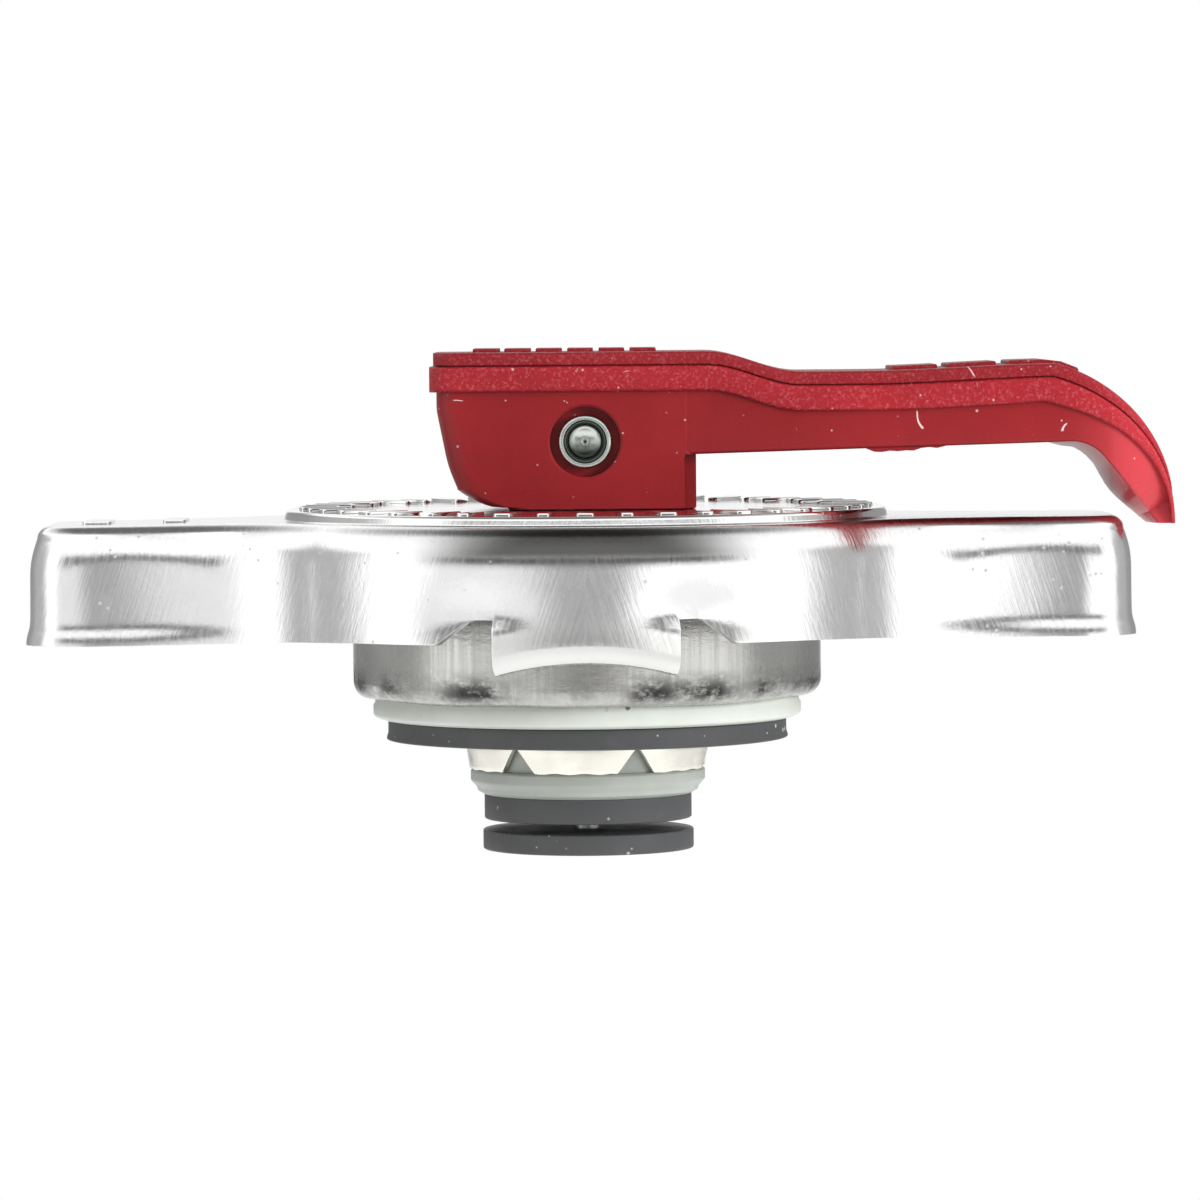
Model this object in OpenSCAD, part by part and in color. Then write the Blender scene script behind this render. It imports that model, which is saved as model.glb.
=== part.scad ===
// Pressure radiator cap with a release lever. Lengths are millimetres.
// Origin: centre of the upper seal's lower face. +Z up, lever along +X.

/* [Shell] */
// Radius of the shell's round body at the top of the skirt
shell_r = 24; // [22:0.1:28]
// Length over the two ears
ear_span = 78.9; // [72:0.1:92]
// Offset of the ears' middle from the axis
ear_shift = -0.4; // [-1:0.1:1]
// Width of an ear
ear_w = 16; // [12:0.1:20]
// Plan radius of an ear's end corners
ear_corner_r = 3; // [2:0.1:5]
// Plan radius of the hollow blend between an ear and the round body
ear_blend_r = 7; // [5:0.1:8]
// Thickness of the shell's steel sheet
sheet_t = 0.7; // [0.5:0.05:0.9]
// Outer radius of the shell's top edge
edge_r = 1.8; // [1.2:0.1:2.4]
// Outward flare of the skirt, degrees
skirt_flare = 2.5; // [1:0.5:5]
// Height of the skirt's lower edge
skirt_z = 7.7; // [7:0.1:9]
// Height of the skirt from its lower edge to the shell's flat top
skirt_h = 8.25; // [7.5:0.05:10]
// Rise of the round crown above the shell's flat top
crown_rise = 0.7; // [0.4:0.05:1]
// Flat margin between the crown and the shell's top edge
crown_margin = 0.5; // [0.4:0.1:1]

/* [Lugs] */
// Width of a locking lug
lug_w = 13; // [10:0.1:15]
// Drop of a lug below the skirt
lug_drop = 1.7; // [1.4:0.05:3]
// Inward reach of a lug
lug_reach = 3.2; // [2.6:0.1:4.2]
// Outer radius of a lug's bend
lug_bend_r = 1.4; // [1.1:0.1:1.8]
// Height of the notches beside a lug
notch_h = 1.9; // [1.4:0.1:2.6]
// Level top of a notch
notch_top_w = 1.7; // [1:0.1:2.5]
// Sloping flank of a notch
notch_flank_w = 2.2; // [1.5:0.1:3]

/* [Bell] */
// Outer diameter of the bell
bell_d = 33.8; // [32:0.1:36]
// Thickness of the bell's sheet
bell_t = 0.55; // [0.4:0.05:0.8]
// Height of the bell's lower edge
bell_z = 3.1; // [2.6:0.1:4]
// Width of the crimped lip at the bell's mouth
lip_w = 1.3; // [0.9:0.1:1.6]
// Outer radius of the bell's edges
bell_edge_r = 1.2; // [0.8:0.1:1.6]

/* [Upper seal] */
// Outer diameter of the upper seal
seal_d = 28.9; // [27:0.1:30]
// Thickness of the upper seal
seal_t = 1.45; // [1:0.05:2]
// Radial width of the upper seal
seal_w = 3; // [2:0.1:3.6]
// Diameter of the visible rim of the gasket carrier
carrier_d = 30.9; // [30.4:0.1:31]
// Bore of the gasket carrier
carrier_bore = 19.6; // [18.8:0.1:20.4]

/* [Valves] */
// Diameter of the valve cup at the root of its tabs
cup_d = 17.6; // [16:0.1:18]
// Inward lean of the tabs at their tips
tab_lean = 0.25; // [0.1:0.01:0.5]
// Thickness of the valve cup's sheet
cup_t = 0.5; // [0.4:0.05:0.7]
// Height of the valve cup's top face
cup_z = 0.6; // [0.4:0.05:1]
// Height of the valve cup, top face to tab tips
cup_h = 2.7; // [2.2:0.1:3.4]
// Number of crimped tabs
tab_n = 6; // [4:1:8]
// Share of the tab ring that each notch takes at the tips
tab_gap = 0.32; // [0.15:0.01:0.45]
// Depth of the notches between tabs
tab_notch_h = 1.7; // [1:0.1:2]
// Turn of the tabs about the axis, degrees
tab_turn = -6; // [-30:1:30]
// Step from the tab tips in to the valve body's rim
plug_step = 0.08; // [0.04:0.01:0.3]
// Height of the valve body's rim below the tabs
plug_rim_h = 1.9; // [1.2:0.1:2.4]
// Step from the valve body's rim in to the pressure seal
pressure_step = 0.97; // [0.6:0.01:1.6]
// Thickness of the pressure seal
pressure_t = 1.8; // [1.2:0.1:2.4]
// Overhang of the vacuum disc past the pressure seal
vacuum_over = 0.125; // [0:0.005:0.4]
// Thickness of the vacuum disc
vacuum_t = 1.45; // [1:0.01:2]
// Open gap between pressure seal and vacuum disc
vacuum_gap = 0.75; // [0.3:0.05:1]
// Diameter of the vacuum valve's stem
vacuum_stem_d = 2; // [1.6:0.1:2.6]

/* [Spring] */
// Wire diameter of the main spring
wire_d = 1.4; // [1:0.1:1.7]
// Mean diameter of the main spring
spring_d = 14; // [12:0.1:14.6]
// Working turns of the main spring
spring_turns = 3; // [2:0.25:3.5]

/* [Stem] */
// Diameter of the lift stem
stem_d = 3; // [2.4:0.1:3.4]
// Width of the stem's eye
eye_w = 6; // [5:0.1:7]
// Thickness of the stem's eye
eye_t = 4; // [3:0.1:5]
// Diameter of the lever pin
pin_d = 3; // [2.4:0.1:3.2]
// Diameter of the pin's heads
pin_head_d = 3.83; // [3.4:0.01:4.4]
// Height of the lever pin above the crown
pin_h = 4.88; // [4.5:0.02:5.4]

/* [Lever] */
// Width of the lever over its cap
lever_w = 16; // [14:0.1:19]
// Overhang of the cap over the lever's walls
cap_over = 0.43; // [0.2:0.01:0.6]
// Thickness of the cap
cap_h = 2.8; // [2.2:0.1:3.2]
// Thickness of the cap's inset top layer
cap_step_h = 1; // [0.6:0.1:1.4]
// Inset of the cap's top layer
cap_step_in = 0.22; // [0.1:0.02:0.4]
// Height of the lever's top above the pin
top_h = 6.37; // [5.8:0.01:7]
// Reach of the lever's back lip behind the pin
lip_x = 11.08; // [10.4:0.02:12]
// Reach of the heel corner behind the pin
heel_x = 8.5; // [7.6:0.01:9]
// Reach of the pivot block in front of the pin
block_x = 7.9; // [7:0.1:9]
// Depth of the dip in the lever's top
dip = 1.5; // [0.6:0.1:1.8]
// Thickness of the arm at the pivot block
arm_h = 5.6; // [5:0.1:6.4]
// Reach of the lever's tip in front of the pin
tip_x = 42.25; // [38:0.05:46]
// Outer radius of the curled tip
tip_r = 12; // [9.5:0.1:12.5]
// Thickness of the arm where the tip starts to curl
arm_tip_h = 5.02; // [4.4:0.02:5.8]
// Reach of the arm's level underside in front of the pin
arm_x = 36; // [32:0.1:38]
// Inner radius of the curled tip
tip_in_r = 3; // [2:0.1:5]
// Thickness of the tip's end
tip_t = 1.25; // [1:0.05:2.6]
// Thickness of the walls round the arm's pockets
lever_wall = 2.2; // [1.6:0.1:2.8]
// Swing of the lever, degrees
lever_swing = 50; // [30:1:55]
// Lift of the stem per radian of lever swing
lift_rate = 5.2; // [4:0.05:5.6]

/* [Fits] */
// Radial running clearance on pins and stems
run_fit = 0.06; // [0.02:0.01:0.1]
// Gap between assembled pieces that don't slide
seat_gap = 0.05; // [0.02:0.01:0.1]
// Wide clearance round loose pieces
loose = 0.15; // [0.1:0.01:0.2]

/* [Hidden] */
$fn = 64;

// Shell levels and plan
top_z = skirt_z + skirt_h;
crown_z = top_z + crown_rise;
crown_r = shell_r - edge_r - crown_margin;
crown_foot_r = shell_r - edge_r - seat_gap;
skirt_out = (skirt_h - edge_r) * tan(skirt_flare);
right_x = ear_span / 2 + ear_shift;
left_x = ear_span / 2 - ear_shift;
blend_y = ear_w / 2 + ear_blend_r;
blend_x = sqrt(pow(shell_r + ear_blend_r, 2) - pow(blend_y, 2));
blend_a = atan2(blend_y, blend_x);
rim_flat = 0.4;
rim_w = edge_r + rim_flat;
notch_z = skirt_z + notch_h;
lug_z = skirt_z - lug_drop;

// Stack of the joint between shell and bell
stem_r = stem_d / 2;
oring_r = 0.5;
groove_r = stem_r + 2 * (oring_r + seat_gap);
eyelet_wall = 0.5;
eyelet_r = groove_r + eyelet_wall;
eyelet_flange_t = 0.6;
eyelet_flange_w = 1.4;
eyelet_flange_r = eyelet_r + eyelet_flange_w;
recess_r = eyelet_flange_r + loose;
recess_z = crown_z - eyelet_flange_t - 2 * seat_gap;
recess_slope = 0.6;
bell_r = bell_d / 2;
bell_top = recess_z - sheet_t - loose;
roof_z = bell_top - bell_t;
washer_t = 0.5;
washer_z = roof_z - 2 * seat_gap - washer_t;
washer_over = 1;
washer_r = eyelet_flange_r + washer_over;
disc_t = 0.3;

// Gasket carrier and seal
lip_r = bell_r - lip_w;
carrier_r = min(carrier_d / 2, lip_r - seat_gap);
carrier_bore_r = carrier_bore / 2;
seal_r = seal_d / 2;
seal_in = seal_r - seal_w;
flange_z = bell_z + bell_t + seat_gap;
flange_t = 1.4;

// Valves
cup_r = cup_d / 2;
cup_tip_r = cup_r - tab_lean;
cup_tip_z = cup_z - cup_h;
cup_bend_r = 1;
plug_r = cup_tip_r - plug_step;
plug_top = cup_z - cup_t - seat_gap;
plug_in_r = cup_tip_r - cup_t - seat_gap;
plug_z = cup_tip_z - plug_rim_h;
seal_band = 2.5;
pressure_r = plug_r - pressure_step;
vacuum_r = pressure_r + vacuum_over;
seal_hole_r = pressure_r - seal_band;
vacuum_stem_r = vacuum_stem_d / 2;
cavity_step = 0.6;
spigot_wall = 1.4;
cavity_r = seal_hole_r - cavity_step;
web_t = 0.5;
vacuum_top = plug_z - pressure_t - vacuum_gap;
vacuum_z = vacuum_top - vacuum_t;
keeper_t = 0.4;
keeper_over = 1;
rivet_over = 1.5;
rivet_r = vacuum_stem_r + rivet_over;
rivet_t = 0.6;

// Stem, pin and lever
pin_z = crown_z + pin_h;
pin_r = pin_d / 2;
eye_drop = 3.6;
washer_foot_t = 0.6;
washer_foot_r = 3.2;
foot_z = plug_top - 2 * seat_gap;
wall_y = lever_w / 2 - cap_over;
head_r = pin_head_d / 2;
head_t = 1.05;
bore_depth = head_t + loose;
lip_over = 0.5;
slot_w = eye_t + 4 * loose;
head_clear = 0.55;
bore_r = head_r + head_clear;
tip_drop = 1.36;
tip_c = [tip_x - tip_r, -pin_h - tip_drop];
tip_start = 74;
tip_end = 0;
tip_start_x = tip_c[0] + tip_r * cos(tip_start);
tip_start_z = tip_c[1] + tip_r * sin(tip_start);
tip_end_z = tip_c[1] + tip_r * sin(tip_end);
arm_z = top_h - dip - arm_h;
arm_end_z = top_h - dip - arm_tip_h;
tip_in_x = tip_x - tip_t;
tip_lean = atan2(arm_end_z - tip_end_z, tip_in_x - arm_x);
arm_level_x = arm_x - tip_in_r * tan(tip_lean / 2);
dip_start = 0.8;
dip_run = 6.7;
flat_run = 4.5;
dip_x0 = block_x + dip_start;
dip_x1 = dip_x0 + dip_run;
rise_x = dip_x1 + flat_run;
fine = 0.01;

function arc(c, r, a0, a1, n) =
    [for (i = [0:n]) let (a = a0 + (a1 - a0) * i / n) c + r * [cos(a), sin(a)]];
function reversed(list) = [for (i = [len(list) - 1:-1:0]) list[i]];
function ease(t) = t * t * (3 - 2 * t);
function blend(a, b, t) = a + (b - a) * t;

// Closed skin over rings of points that all have the same count
module skin(rings) {
    n = len(rings[0]);
    m = len(rings);
    sides = [
        for (i = [0:m - 2], j = [0:n - 1])
            let (k = (j + 1) % n)
            each [
                [i * n + j, i * n + k, (i + 1) * n + k],
                [i * n + j, (i + 1) * n + k, (i + 1) * n + j]
            ]
    ];
    ends = [[for (j = [n - 1:-1:0]) j], [for (j = [0:n - 1]) (m - 1) * n + j]];
    polyhedron([for (ring = rings) each ring], concat(sides, ends));
}

module both_y() {
    children();
    mirror([0, 1, 0]) children();
}

// Section through the shell's rim: x is measured outward from the plan outline
module rim_section() {
    c = [-edge_r, top_z - edge_r];
    polygon(concat(
        [[-rim_w, top_z]],
        arc(c, edge_r, 90, 0, 6),
        [[skirt_out, skirt_z], [skirt_out - sheet_t, skirt_z]],
        arc(c, edge_r - sheet_t, 0, 90, 4),
        [[-rim_w, top_z - sheet_t]]
    ));
}

module rim_run(length) {
    rotate([90, 0, 90]) linear_extrude(length) rim_section();
}

module rim_turn(r, a0, a1) {
    rotate([0, 0, a0]) rotate_extrude(angle = a1 - a0) translate([r, 0]) rim_section();
}

module rim_hollow(r, a0, a1) {
    rotate([0, 0, a0]) rotate_extrude(angle = a1 - a0) translate([r, 0]) mirror([1, 0]) rim_section();
}

module ear_rim(ear_x) {
    corner_x = ear_x - ear_corner_r;
    corner_y = ear_w / 2 - ear_corner_r;
    translate([ear_x, corner_y, 0]) rotate([0, 0, -90]) rim_run(2 * corner_y);
    both_y() {
        translate([corner_x, corner_y, 0]) {
            rim_turn(ear_corner_r, 0, 90);
            translate([blend_x - corner_x, ear_corner_r, 0]) rim_run(corner_x - blend_x);
        }
        translate([blend_x, blend_y, 0]) rim_hollow(ear_blend_r, 180 + blend_a, 270);
    }
}

// Plan outline of the shell, drawn inside the outer one by d
module plan(d) {
    circle(shell_r - d);
    ear_plan(right_x, d);
    mirror([1, 0]) ear_plan(left_x, d);
}

module ear_plan(ear_x, d) {
    translate([0, d - ear_w / 2]) square([ear_x - ear_corner_r, ear_w - 2 * d]);
    translate([0, ear_corner_r - ear_w / 2]) square([ear_x - d, ear_w - 2 * ear_corner_r]);
    both_y() {
        translate([ear_x - ear_corner_r, ear_w / 2 - ear_corner_r]) circle(ear_corner_r - d);
        difference() {
            polygon([[0, 0], [blend_x, 0], [blend_x, blend_y]]);
            translate([blend_x, blend_y]) circle(ear_blend_r + d);
        }
    }
}

// Raised crown with a sunk seat for the eyelet, joined to the flat top at its foot
module crown() {
    soft = 0.35;
    rotate_extrude() polygon(concat(
        [
            [eyelet_r + seat_gap, recess_z], [recess_r, recess_z],
            [recess_r + recess_slope, crown_z]
        ],
        arc([crown_r - soft, crown_z - soft], soft, 90, 0, 5),
        [
            [crown_r, top_z], [crown_foot_r, top_z],
            [crown_foot_r, top_z - sheet_t], [crown_r - sheet_t, top_z - sheet_t],
            [crown_r - 1.5 * sheet_t, crown_z - sheet_t],
            [recess_r + recess_slope + sheet_t, crown_z - sheet_t],
            [recess_r + sheet_t, recess_z - sheet_t],
            [eyelet_r + seat_gap, recess_z - sheet_t]
        ]
    ));
}

// Window cut in the skirt: level between the two notches, with sloping flanks
module lug_window() {
    half_top = lug_w / 2 + notch_top_w;
    half_foot = half_top + notch_flank_w;
    over = skirt_z - 1;
    slope = notch_flank_w / notch_h;
    translate([0, -shell_r / 2, 0]) rotate([90, 0, 0]) linear_extrude(shell_r) polygon([
        [-half_top, notch_z], [half_top, notch_z],
        [half_foot + slope, over], [-half_foot - slope, over]
    ]);
}

// Lug: down from the skirt, round the bend and inward
module lug() {
    half_a = asin(lug_w / 2 / shell_r);
    root = skirt_out * (top_z - edge_r - notch_z) / (skirt_h - edge_r);
    out = root - seat_gap;
    back = root - sheet_t + seat_gap;
    c = [out - lug_bend_r, lug_z + lug_bend_r];
    rotate([0, 0, -90 - half_a]) rotate_extrude(angle = 2 * half_a) translate([shell_r, 0])
        polygon(concat(
            [[out, notch_z + sheet_t]],
            arc(c, lug_bend_r, 0, -90, 5),
            [[out - lug_reach, lug_z], [out - lug_reach, lug_z + out - back]],
            arc(c, lug_bend_r - out + back, -90, 0, 4),
            [[back, notch_z + sheet_t]]
        ));
}

module shell() color("silver") {
    difference() {
        union() {
            ear_rim(right_x);
            mirror([1, 0, 0]) ear_rim(left_x);
            both_y() rim_turn(shell_r, blend_a, 180 - blend_a);
            translate([0, 0, top_z - sheet_t]) linear_extrude(sheet_t) difference() {
                plan(edge_r + rim_flat / 2);
                circle((crown_r + crown_foot_r) / 2);
            }
            crown();
        }
        both_y() lug_window();
    }
    both_y() lug();
}

// Sprung disc, dished between the crown and the bell's roof
module spring_disc() color("lightsteelblue") {
    r0 = recess_r + recess_slope + 2 * sheet_t;
    r1 = bell_r - bell_edge_r - loose;
    hi = crown_z - sheet_t - seat_gap;
    lo = bell_top + seat_gap;
    rotate_extrude() polygon([[r0, hi - disc_t], [r0, hi], [r1, lo + disc_t], [r1, lo]]);
}

module eyelet() color("gainsboro") {
    guide_r = stem_r + run_fit;
    hi = recess_z + seat_gap;
    foot = washer_z - eyelet_flange_t;
    mid = (hi + foot) / 2;
    half_groove = oring_r + seat_gap;
    rotate_extrude() polygon([
        [guide_r, hi + eyelet_flange_t], [eyelet_flange_r, hi + eyelet_flange_t], [eyelet_flange_r, hi],
        [eyelet_r, hi], [eyelet_r, washer_z], [eyelet_flange_r, washer_z], [eyelet_flange_r, foot],
        [guide_r, foot], [guide_r, mid - half_groove], [groove_r, mid - half_groove],
        [groove_r, mid + half_groove], [guide_r, mid + half_groove]
    ]);
}

module stem_seal() color("dimgray") {
    mid = (recess_z + seat_gap + washer_z - eyelet_flange_t) / 2;
    translate([0, 0, mid]) rotate_extrude() translate([stem_r + seat_gap + oring_r, 0]) circle(oring_r);
}

module bell_washer() color("silver") {
    translate([0, 0, washer_z]) difference() {
        cylinder(washer_t, r = washer_r);
        translate([0, 0, -washer_t]) cylinder(3 * washer_t, r = eyelet_r + seat_gap);
    }
}

// Deep-drawn bell with its mouth crimped inward
module bell() color("whitesmoke") {
    in_r = bell_edge_r - bell_t;
    hi_c = [bell_r - bell_edge_r, bell_top - bell_edge_r];
    lo_c = [bell_r - bell_edge_r, bell_z + bell_edge_r];
    rotate_extrude() polygon(concat(
        [[eyelet_r + run_fit, roof_z], [eyelet_r + run_fit, bell_top]],
        arc(hi_c, bell_edge_r, 90, 0, 6),
        arc(lo_c, bell_edge_r, 0, -90, 6),
        [[lip_r, bell_z], [lip_r, bell_z + bell_t]],
        arc(lo_c, in_r, -90, 0, 4),
        arc(hi_c, in_r, 0, 90, 4)
    ));
}

module gasket_carrier() color("lightgray") {
    soft = 0.5;
    seat_r = bell_edge_r - bell_t - seat_gap;
    seat_c = [bell_r - bell_edge_r, bell_z + bell_edge_r];
    rotate_extrude() polygon(concat(
        [
            [carrier_bore_r, flange_z + flange_t], [carrier_bore_r, seal_t / 4],
            [seal_in - seat_gap, seal_t / 4], [seal_in - seat_gap, seal_t + seat_gap]
        ],
        arc([carrier_r - soft, seal_t + seat_gap + soft], soft, -90, 0, 4),
        [[carrier_r, flange_z]],
        arc(seat_c, seat_r, -90, 0, 4),
        [[seat_c[0] + seat_r, flange_z + flange_t]]
    ));
}

module upper_seal() color("dimgray") {
    soft = 0.2;
    rotate_extrude() polygon(concat(
        [[seal_in, 0]],
        arc([seal_r - soft, soft], soft, -90, 0, 3),
        [[seal_r, seal_t], [seal_in, seal_t]]
    ));
}

// Coil with a closed half turn at each end
module main_spring() color("slategray") {
    sides = 8;
    per_turn = 20;
    dead = 0.5;
    lo = cup_z + wire_d / 2 + seat_gap;
    hi = roof_z - wire_d / 2 - seat_gap;
    turns = spring_turns + 2 * dead;
    rise = hi - lo;
    last = ceil(turns * per_turn);
    skin([
        for (i = [0:last])
            let (
                t = turns * i / last,
                z = lo + rise * max(0, min(1, (t - dead) / spring_turns))
            )
            [
                for (j = [0:sides - 1])
                    let (w = -360 * j / sides, r = spring_d / 2 + wire_d / 2 * cos(w))
                    [r * cos(360 * t), r * sin(360 * t), z + wire_d / 2 * sin(w)]
            ]
    ]);
}

// Round stem with a flattened eye at the top
module stem() color("silver") {
    neck_z = pin_z - eye_drop;
    difference() {
        union() {
            translate([0, 0, foot_z - washer_foot_t])
                cylinder(neck_z - foot_z + washer_foot_t + fine, r = stem_r);
            intersection() {
                translate([-eye_w / 2, -eye_t / 2, neck_z]) cube([eye_w, eye_t, eye_drop]);
                translate([0, 0, neck_z]) cylinder(eye_drop, r = eye_w / 2);
            }
            translate([0, eye_t / 2, pin_z]) rotate([90, 0, 0]) cylinder(eye_t, r = eye_w / 2);
        }
        translate([0, eye_t, pin_z]) rotate([90, 0, 0]) cylinder(2 * eye_t, r = pin_r + fine);
    }
}

module lift_washer() color("silver") {
    translate([0, 0, foot_z - washer_foot_t]) difference() {
        cylinder(washer_foot_t, r = washer_foot_r);
        translate([0, 0, -washer_foot_t]) cylinder(3 * washer_foot_t, r = stem_r + fine);
    }
}

// Pin with two flat heads, each with a ring groove and a conical dimple
module lever_pin() color("gainsboro") {
    face = wall_y - loose / 2;
    groove = 0.18;
    ring_r = 0.72 * head_r;
    dimple_r = 0.5 * head_r;
    half = [
        [pin_r, face - head_t], [head_r, face - head_t], [head_r, face],
        [ring_r + groove, face], [ring_r, face - groove], [ring_r - groove, face],
        [dimple_r, face], [0, face - 0.6 * dimple_r]
    ];
    other_half = [for (p = reversed(half)) [p[0], -p[1]]];
    translate([0, 0, pin_z]) rotate([90, 0, 0]) rotate_extrude() polygon(concat(half, other_half));
}

// Top line of the lever in its side view, lowered by d: level, dipped, then curled over at the tip
function top_line(d) = concat(
    [[-lip_x, top_h - d]],
    [for (t = [0:0.1:1]) [blend(dip_x0, dip_x1, t), top_h - d - dip * ease(t)]],
    [for (t = [0:0.25:0.75]) [blend(rise_x, tip_start_x, t), blend(top_h - dip, tip_start_z, ease(t)) - d]],
    arc(tip_c, tip_r - d, tip_start, tip_end, 16)
);

// Involute heel: the pin rises by lift_rate for each radian that the lever turns
function heel_point(a) =
    let (h = pin_h - seat_gap + lift_rate * a * PI / 180)
    [-h * sin(a) - lift_rate * cos(a), lift_rate * sin(a) - h * cos(a)];

// Region under the heel that the lever's walls stay clear of as it swings
module heel_relief() {
    last = heel_point(lever_swing);
    polygon(concat(
        [for (i = [0:12]) heel_point(lever_swing * i / 12)],
        [[-2 * lip_x, last[1]], [-2 * lip_x, -2 * pin_h], [-lift_rate, -2 * pin_h]]
    ));
}

// Underside of the curled tip, from the level arm round the bend to the tip's end
function tip_under() = concat(
    arc([arm_level_x, arm_end_z - tip_in_r], tip_in_r, 90, 90 - tip_lean, 8),
    [[tip_in_x, tip_end_z]]
);

// Hollow under the curled tip
module tip_hollow() {
    polygon(concat(tip_under(), [[tip_in_x, -2 * pin_h], [arm_level_x, -2 * pin_h]]));
}

module lever_side() {
    back_x = lip_x - lip_over;
    difference() {
        polygon(concat(
            top_line(cap_h - fine),
            [
                [arm_level_x, tip_end_z], [arm_level_x, arm_end_z], [block_x, arm_z],
                [block_x, seat_gap - pin_h], [-heel_x, seat_gap - pin_h],
                [-blend(heel_x, back_x, 0.62), -0.35 * pin_h], [-back_x, 0.47 * pin_h],
                [-back_x, top_h - cap_h + fine]
            ]
        ));
        tip_hollow();
        heel_relief();
    }
}

module cap_side(d0, d1) {
    difference() {
        polygon(concat(top_line(d0), reversed(top_line(d1))));
        tip_hollow();
    }
}

module lever_plan(d) {
    soft = 1.6;
    tip_soft = 4;
    half = lever_w / 2 - d;
    x0 = d - lip_x;
    x1 = tip_x - d;
    both_y() {
        translate([x0 + soft, -fine]) square([x1 - x0 - soft - tip_soft, half + fine]);
        translate([x0, -fine]) square([soft + fine, half - soft + fine]);
        translate([x0 + soft, half - soft]) circle(soft);
        translate([x1 - tip_soft - fine, -fine]) square([tip_soft + fine, half - tip_soft + fine]);
        translate([x1 - tip_soft, half - tip_soft]) circle(tip_soft);
    }
}

// One layer of the lever: its side view, rounded in plan and drawn in by d
module lever_layer(d) {
    intersection() {
        translate([0, lever_w, 0]) rotate([90, 0, 0]) linear_extrude(2 * lever_w) children();
        translate([0, 0, -lever_w]) linear_extrude(2 * lever_w) lever_plan(d);
    }
}

// Slot between the cheeks: clear of the eye and of the stem over the whole swing
module stem_slot() {
    clear = 2 * loose;
    eye_sweep = norm([eye_w / 2, eye_drop]) + clear;
    edge = stem_r + clear;
    side = eye_w / 2 + 2 * clear;
    along = [-sin(lever_swing), -cos(lever_swing)];
    across = [-cos(lever_swing), sin(lever_swing)];
    meet = (eye_sweep + edge * across[0]) / -along[0];
    below = (2 * pin_h + edge * across[1]) / -along[1];
    translate([0, slot_w / 2, 0]) rotate([90, 0, 0]) linear_extrude(slot_w) polygon([
        [side, -2 * pin_h], [side, side], [-eye_sweep, side],
        meet * along + edge * across, below * along + edge * across
    ]);
}

// Pockets that core the arm from below, on both sides of a middle rib
module arm_pockets() {
    rib = 0.6 * lever_wall;
    x0 = block_x + lever_wall;
    x1 = arm_level_x - lever_wall;
    bay = (x1 - x0 - rib) / 2;
    deep = 2 * pin_h;
    for (x = [x0, x0 + bay + rib])
        both_y() translate([x, rib / 2, top_h - dip - cap_h - deep])
            cube([bay, wall_y - lever_wall - rib / 2, deep]);
}

module lever() color("firebrick") translate([0, 0, pin_z]) {
    difference() {
        union() {
            lever_layer(cap_over) lever_side();
            lever_layer(0) cap_side(cap_step_h, cap_h);
            lever_layer(cap_step_in) cap_side(0, cap_step_h + fine);
        }
        stem_slot();
        arm_pockets();
        rotate([90, 0, 0]) cylinder(2 * lever_w, r = pin_r + run_fit, center = true);
        both_y() translate([0, bore_depth - wall_y, 0]) rotate([90, 0, 0]) cylinder(lever_w, r = bore_r);
    }
}

// Cup over the valve body, with tabs folded against it
module valve_cup() color("ivory") {
    c = [cup_r - cup_bend_r, cup_z - cup_bend_r];
    in_r = cup_bend_r - cup_t;
    hole_r = stem_r + loose;
    mean_r = (cup_r + cup_tip_r) / 2;
    foot_half = tab_gap * PI * mean_r / tab_n;
    top_half = 0.15 * foot_half;
    flow_r = 0.8;
    flow_ring = 0.57 * cup_r;
    difference() {
        rotate_extrude() polygon(concat(
            [[hole_r, cup_z - cup_t], [hole_r, cup_z]],
            arc(c, cup_bend_r, 90, 0, 5),
            [[cup_tip_r, cup_tip_z], [cup_tip_r - cup_t, cup_tip_z]],
            arc(c, in_r, 0, 90, 4)
        ));
        for (i = [0:tab_n - 1])
            rotate([0, 0, tab_turn + (i + 0.5) * 360 / tab_n]) rotate([90, 0, 0])
                linear_extrude(2 * cup_r) polygon([
                    [-top_half, cup_tip_z + tab_notch_h], [top_half, cup_tip_z + tab_notch_h],
                    [foot_half, cup_tip_z], [foot_half, cup_tip_z - cup_t],
                    [-foot_half, cup_tip_z - cup_t], [-foot_half, cup_tip_z]
                ]);
        for (i = [0:tab_n - 1])
            rotate([0, 0, tab_turn + i * 360 / tab_n]) translate([flow_ring, 0, 0])
                cylinder(2 * cup_h, r = flow_r, center = true);
    }
}

module valve_body() color("lightgray") {
    web_z = plug_z + web_t;
    spigot_in = seal_hole_r - spigot_wall;
    spigot_z = plug_z - 0.7 * pressure_t;
    soft = 0.3;
    rim_soft = 1;
    flow_r = 0.7;
    difference() {
        rotate_extrude() polygon(concat(
            [
                [cavity_r, plug_top], [plug_in_r, plug_top], [plug_in_r, cup_tip_z - seat_gap],
                [plug_r - soft, cup_tip_z - seat_gap]
            ],
            arc([plug_r - soft, cup_tip_z - seat_gap - soft], soft, 90, 0, 3),
            arc([plug_r - rim_soft, cup_tip_z - plug_rim_h / 2], rim_soft, 0, -60, 4),
            [
                [pressure_r, plug_z], [seal_hole_r, plug_z], [seal_hole_r, spigot_z],
                [spigot_in, spigot_z], [spigot_in, plug_z], [vacuum_stem_r + run_fit, plug_z],
                [vacuum_stem_r + run_fit, web_z], [cavity_r, web_z]
            ]
        ));
        for (i = [0:3])
            rotate([0, 0, 90 * i]) translate([spigot_in - flow_r - 2 * loose, 0, plug_z - web_t])
                cylinder(3 * web_t, r = flow_r);
    }
}

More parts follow.
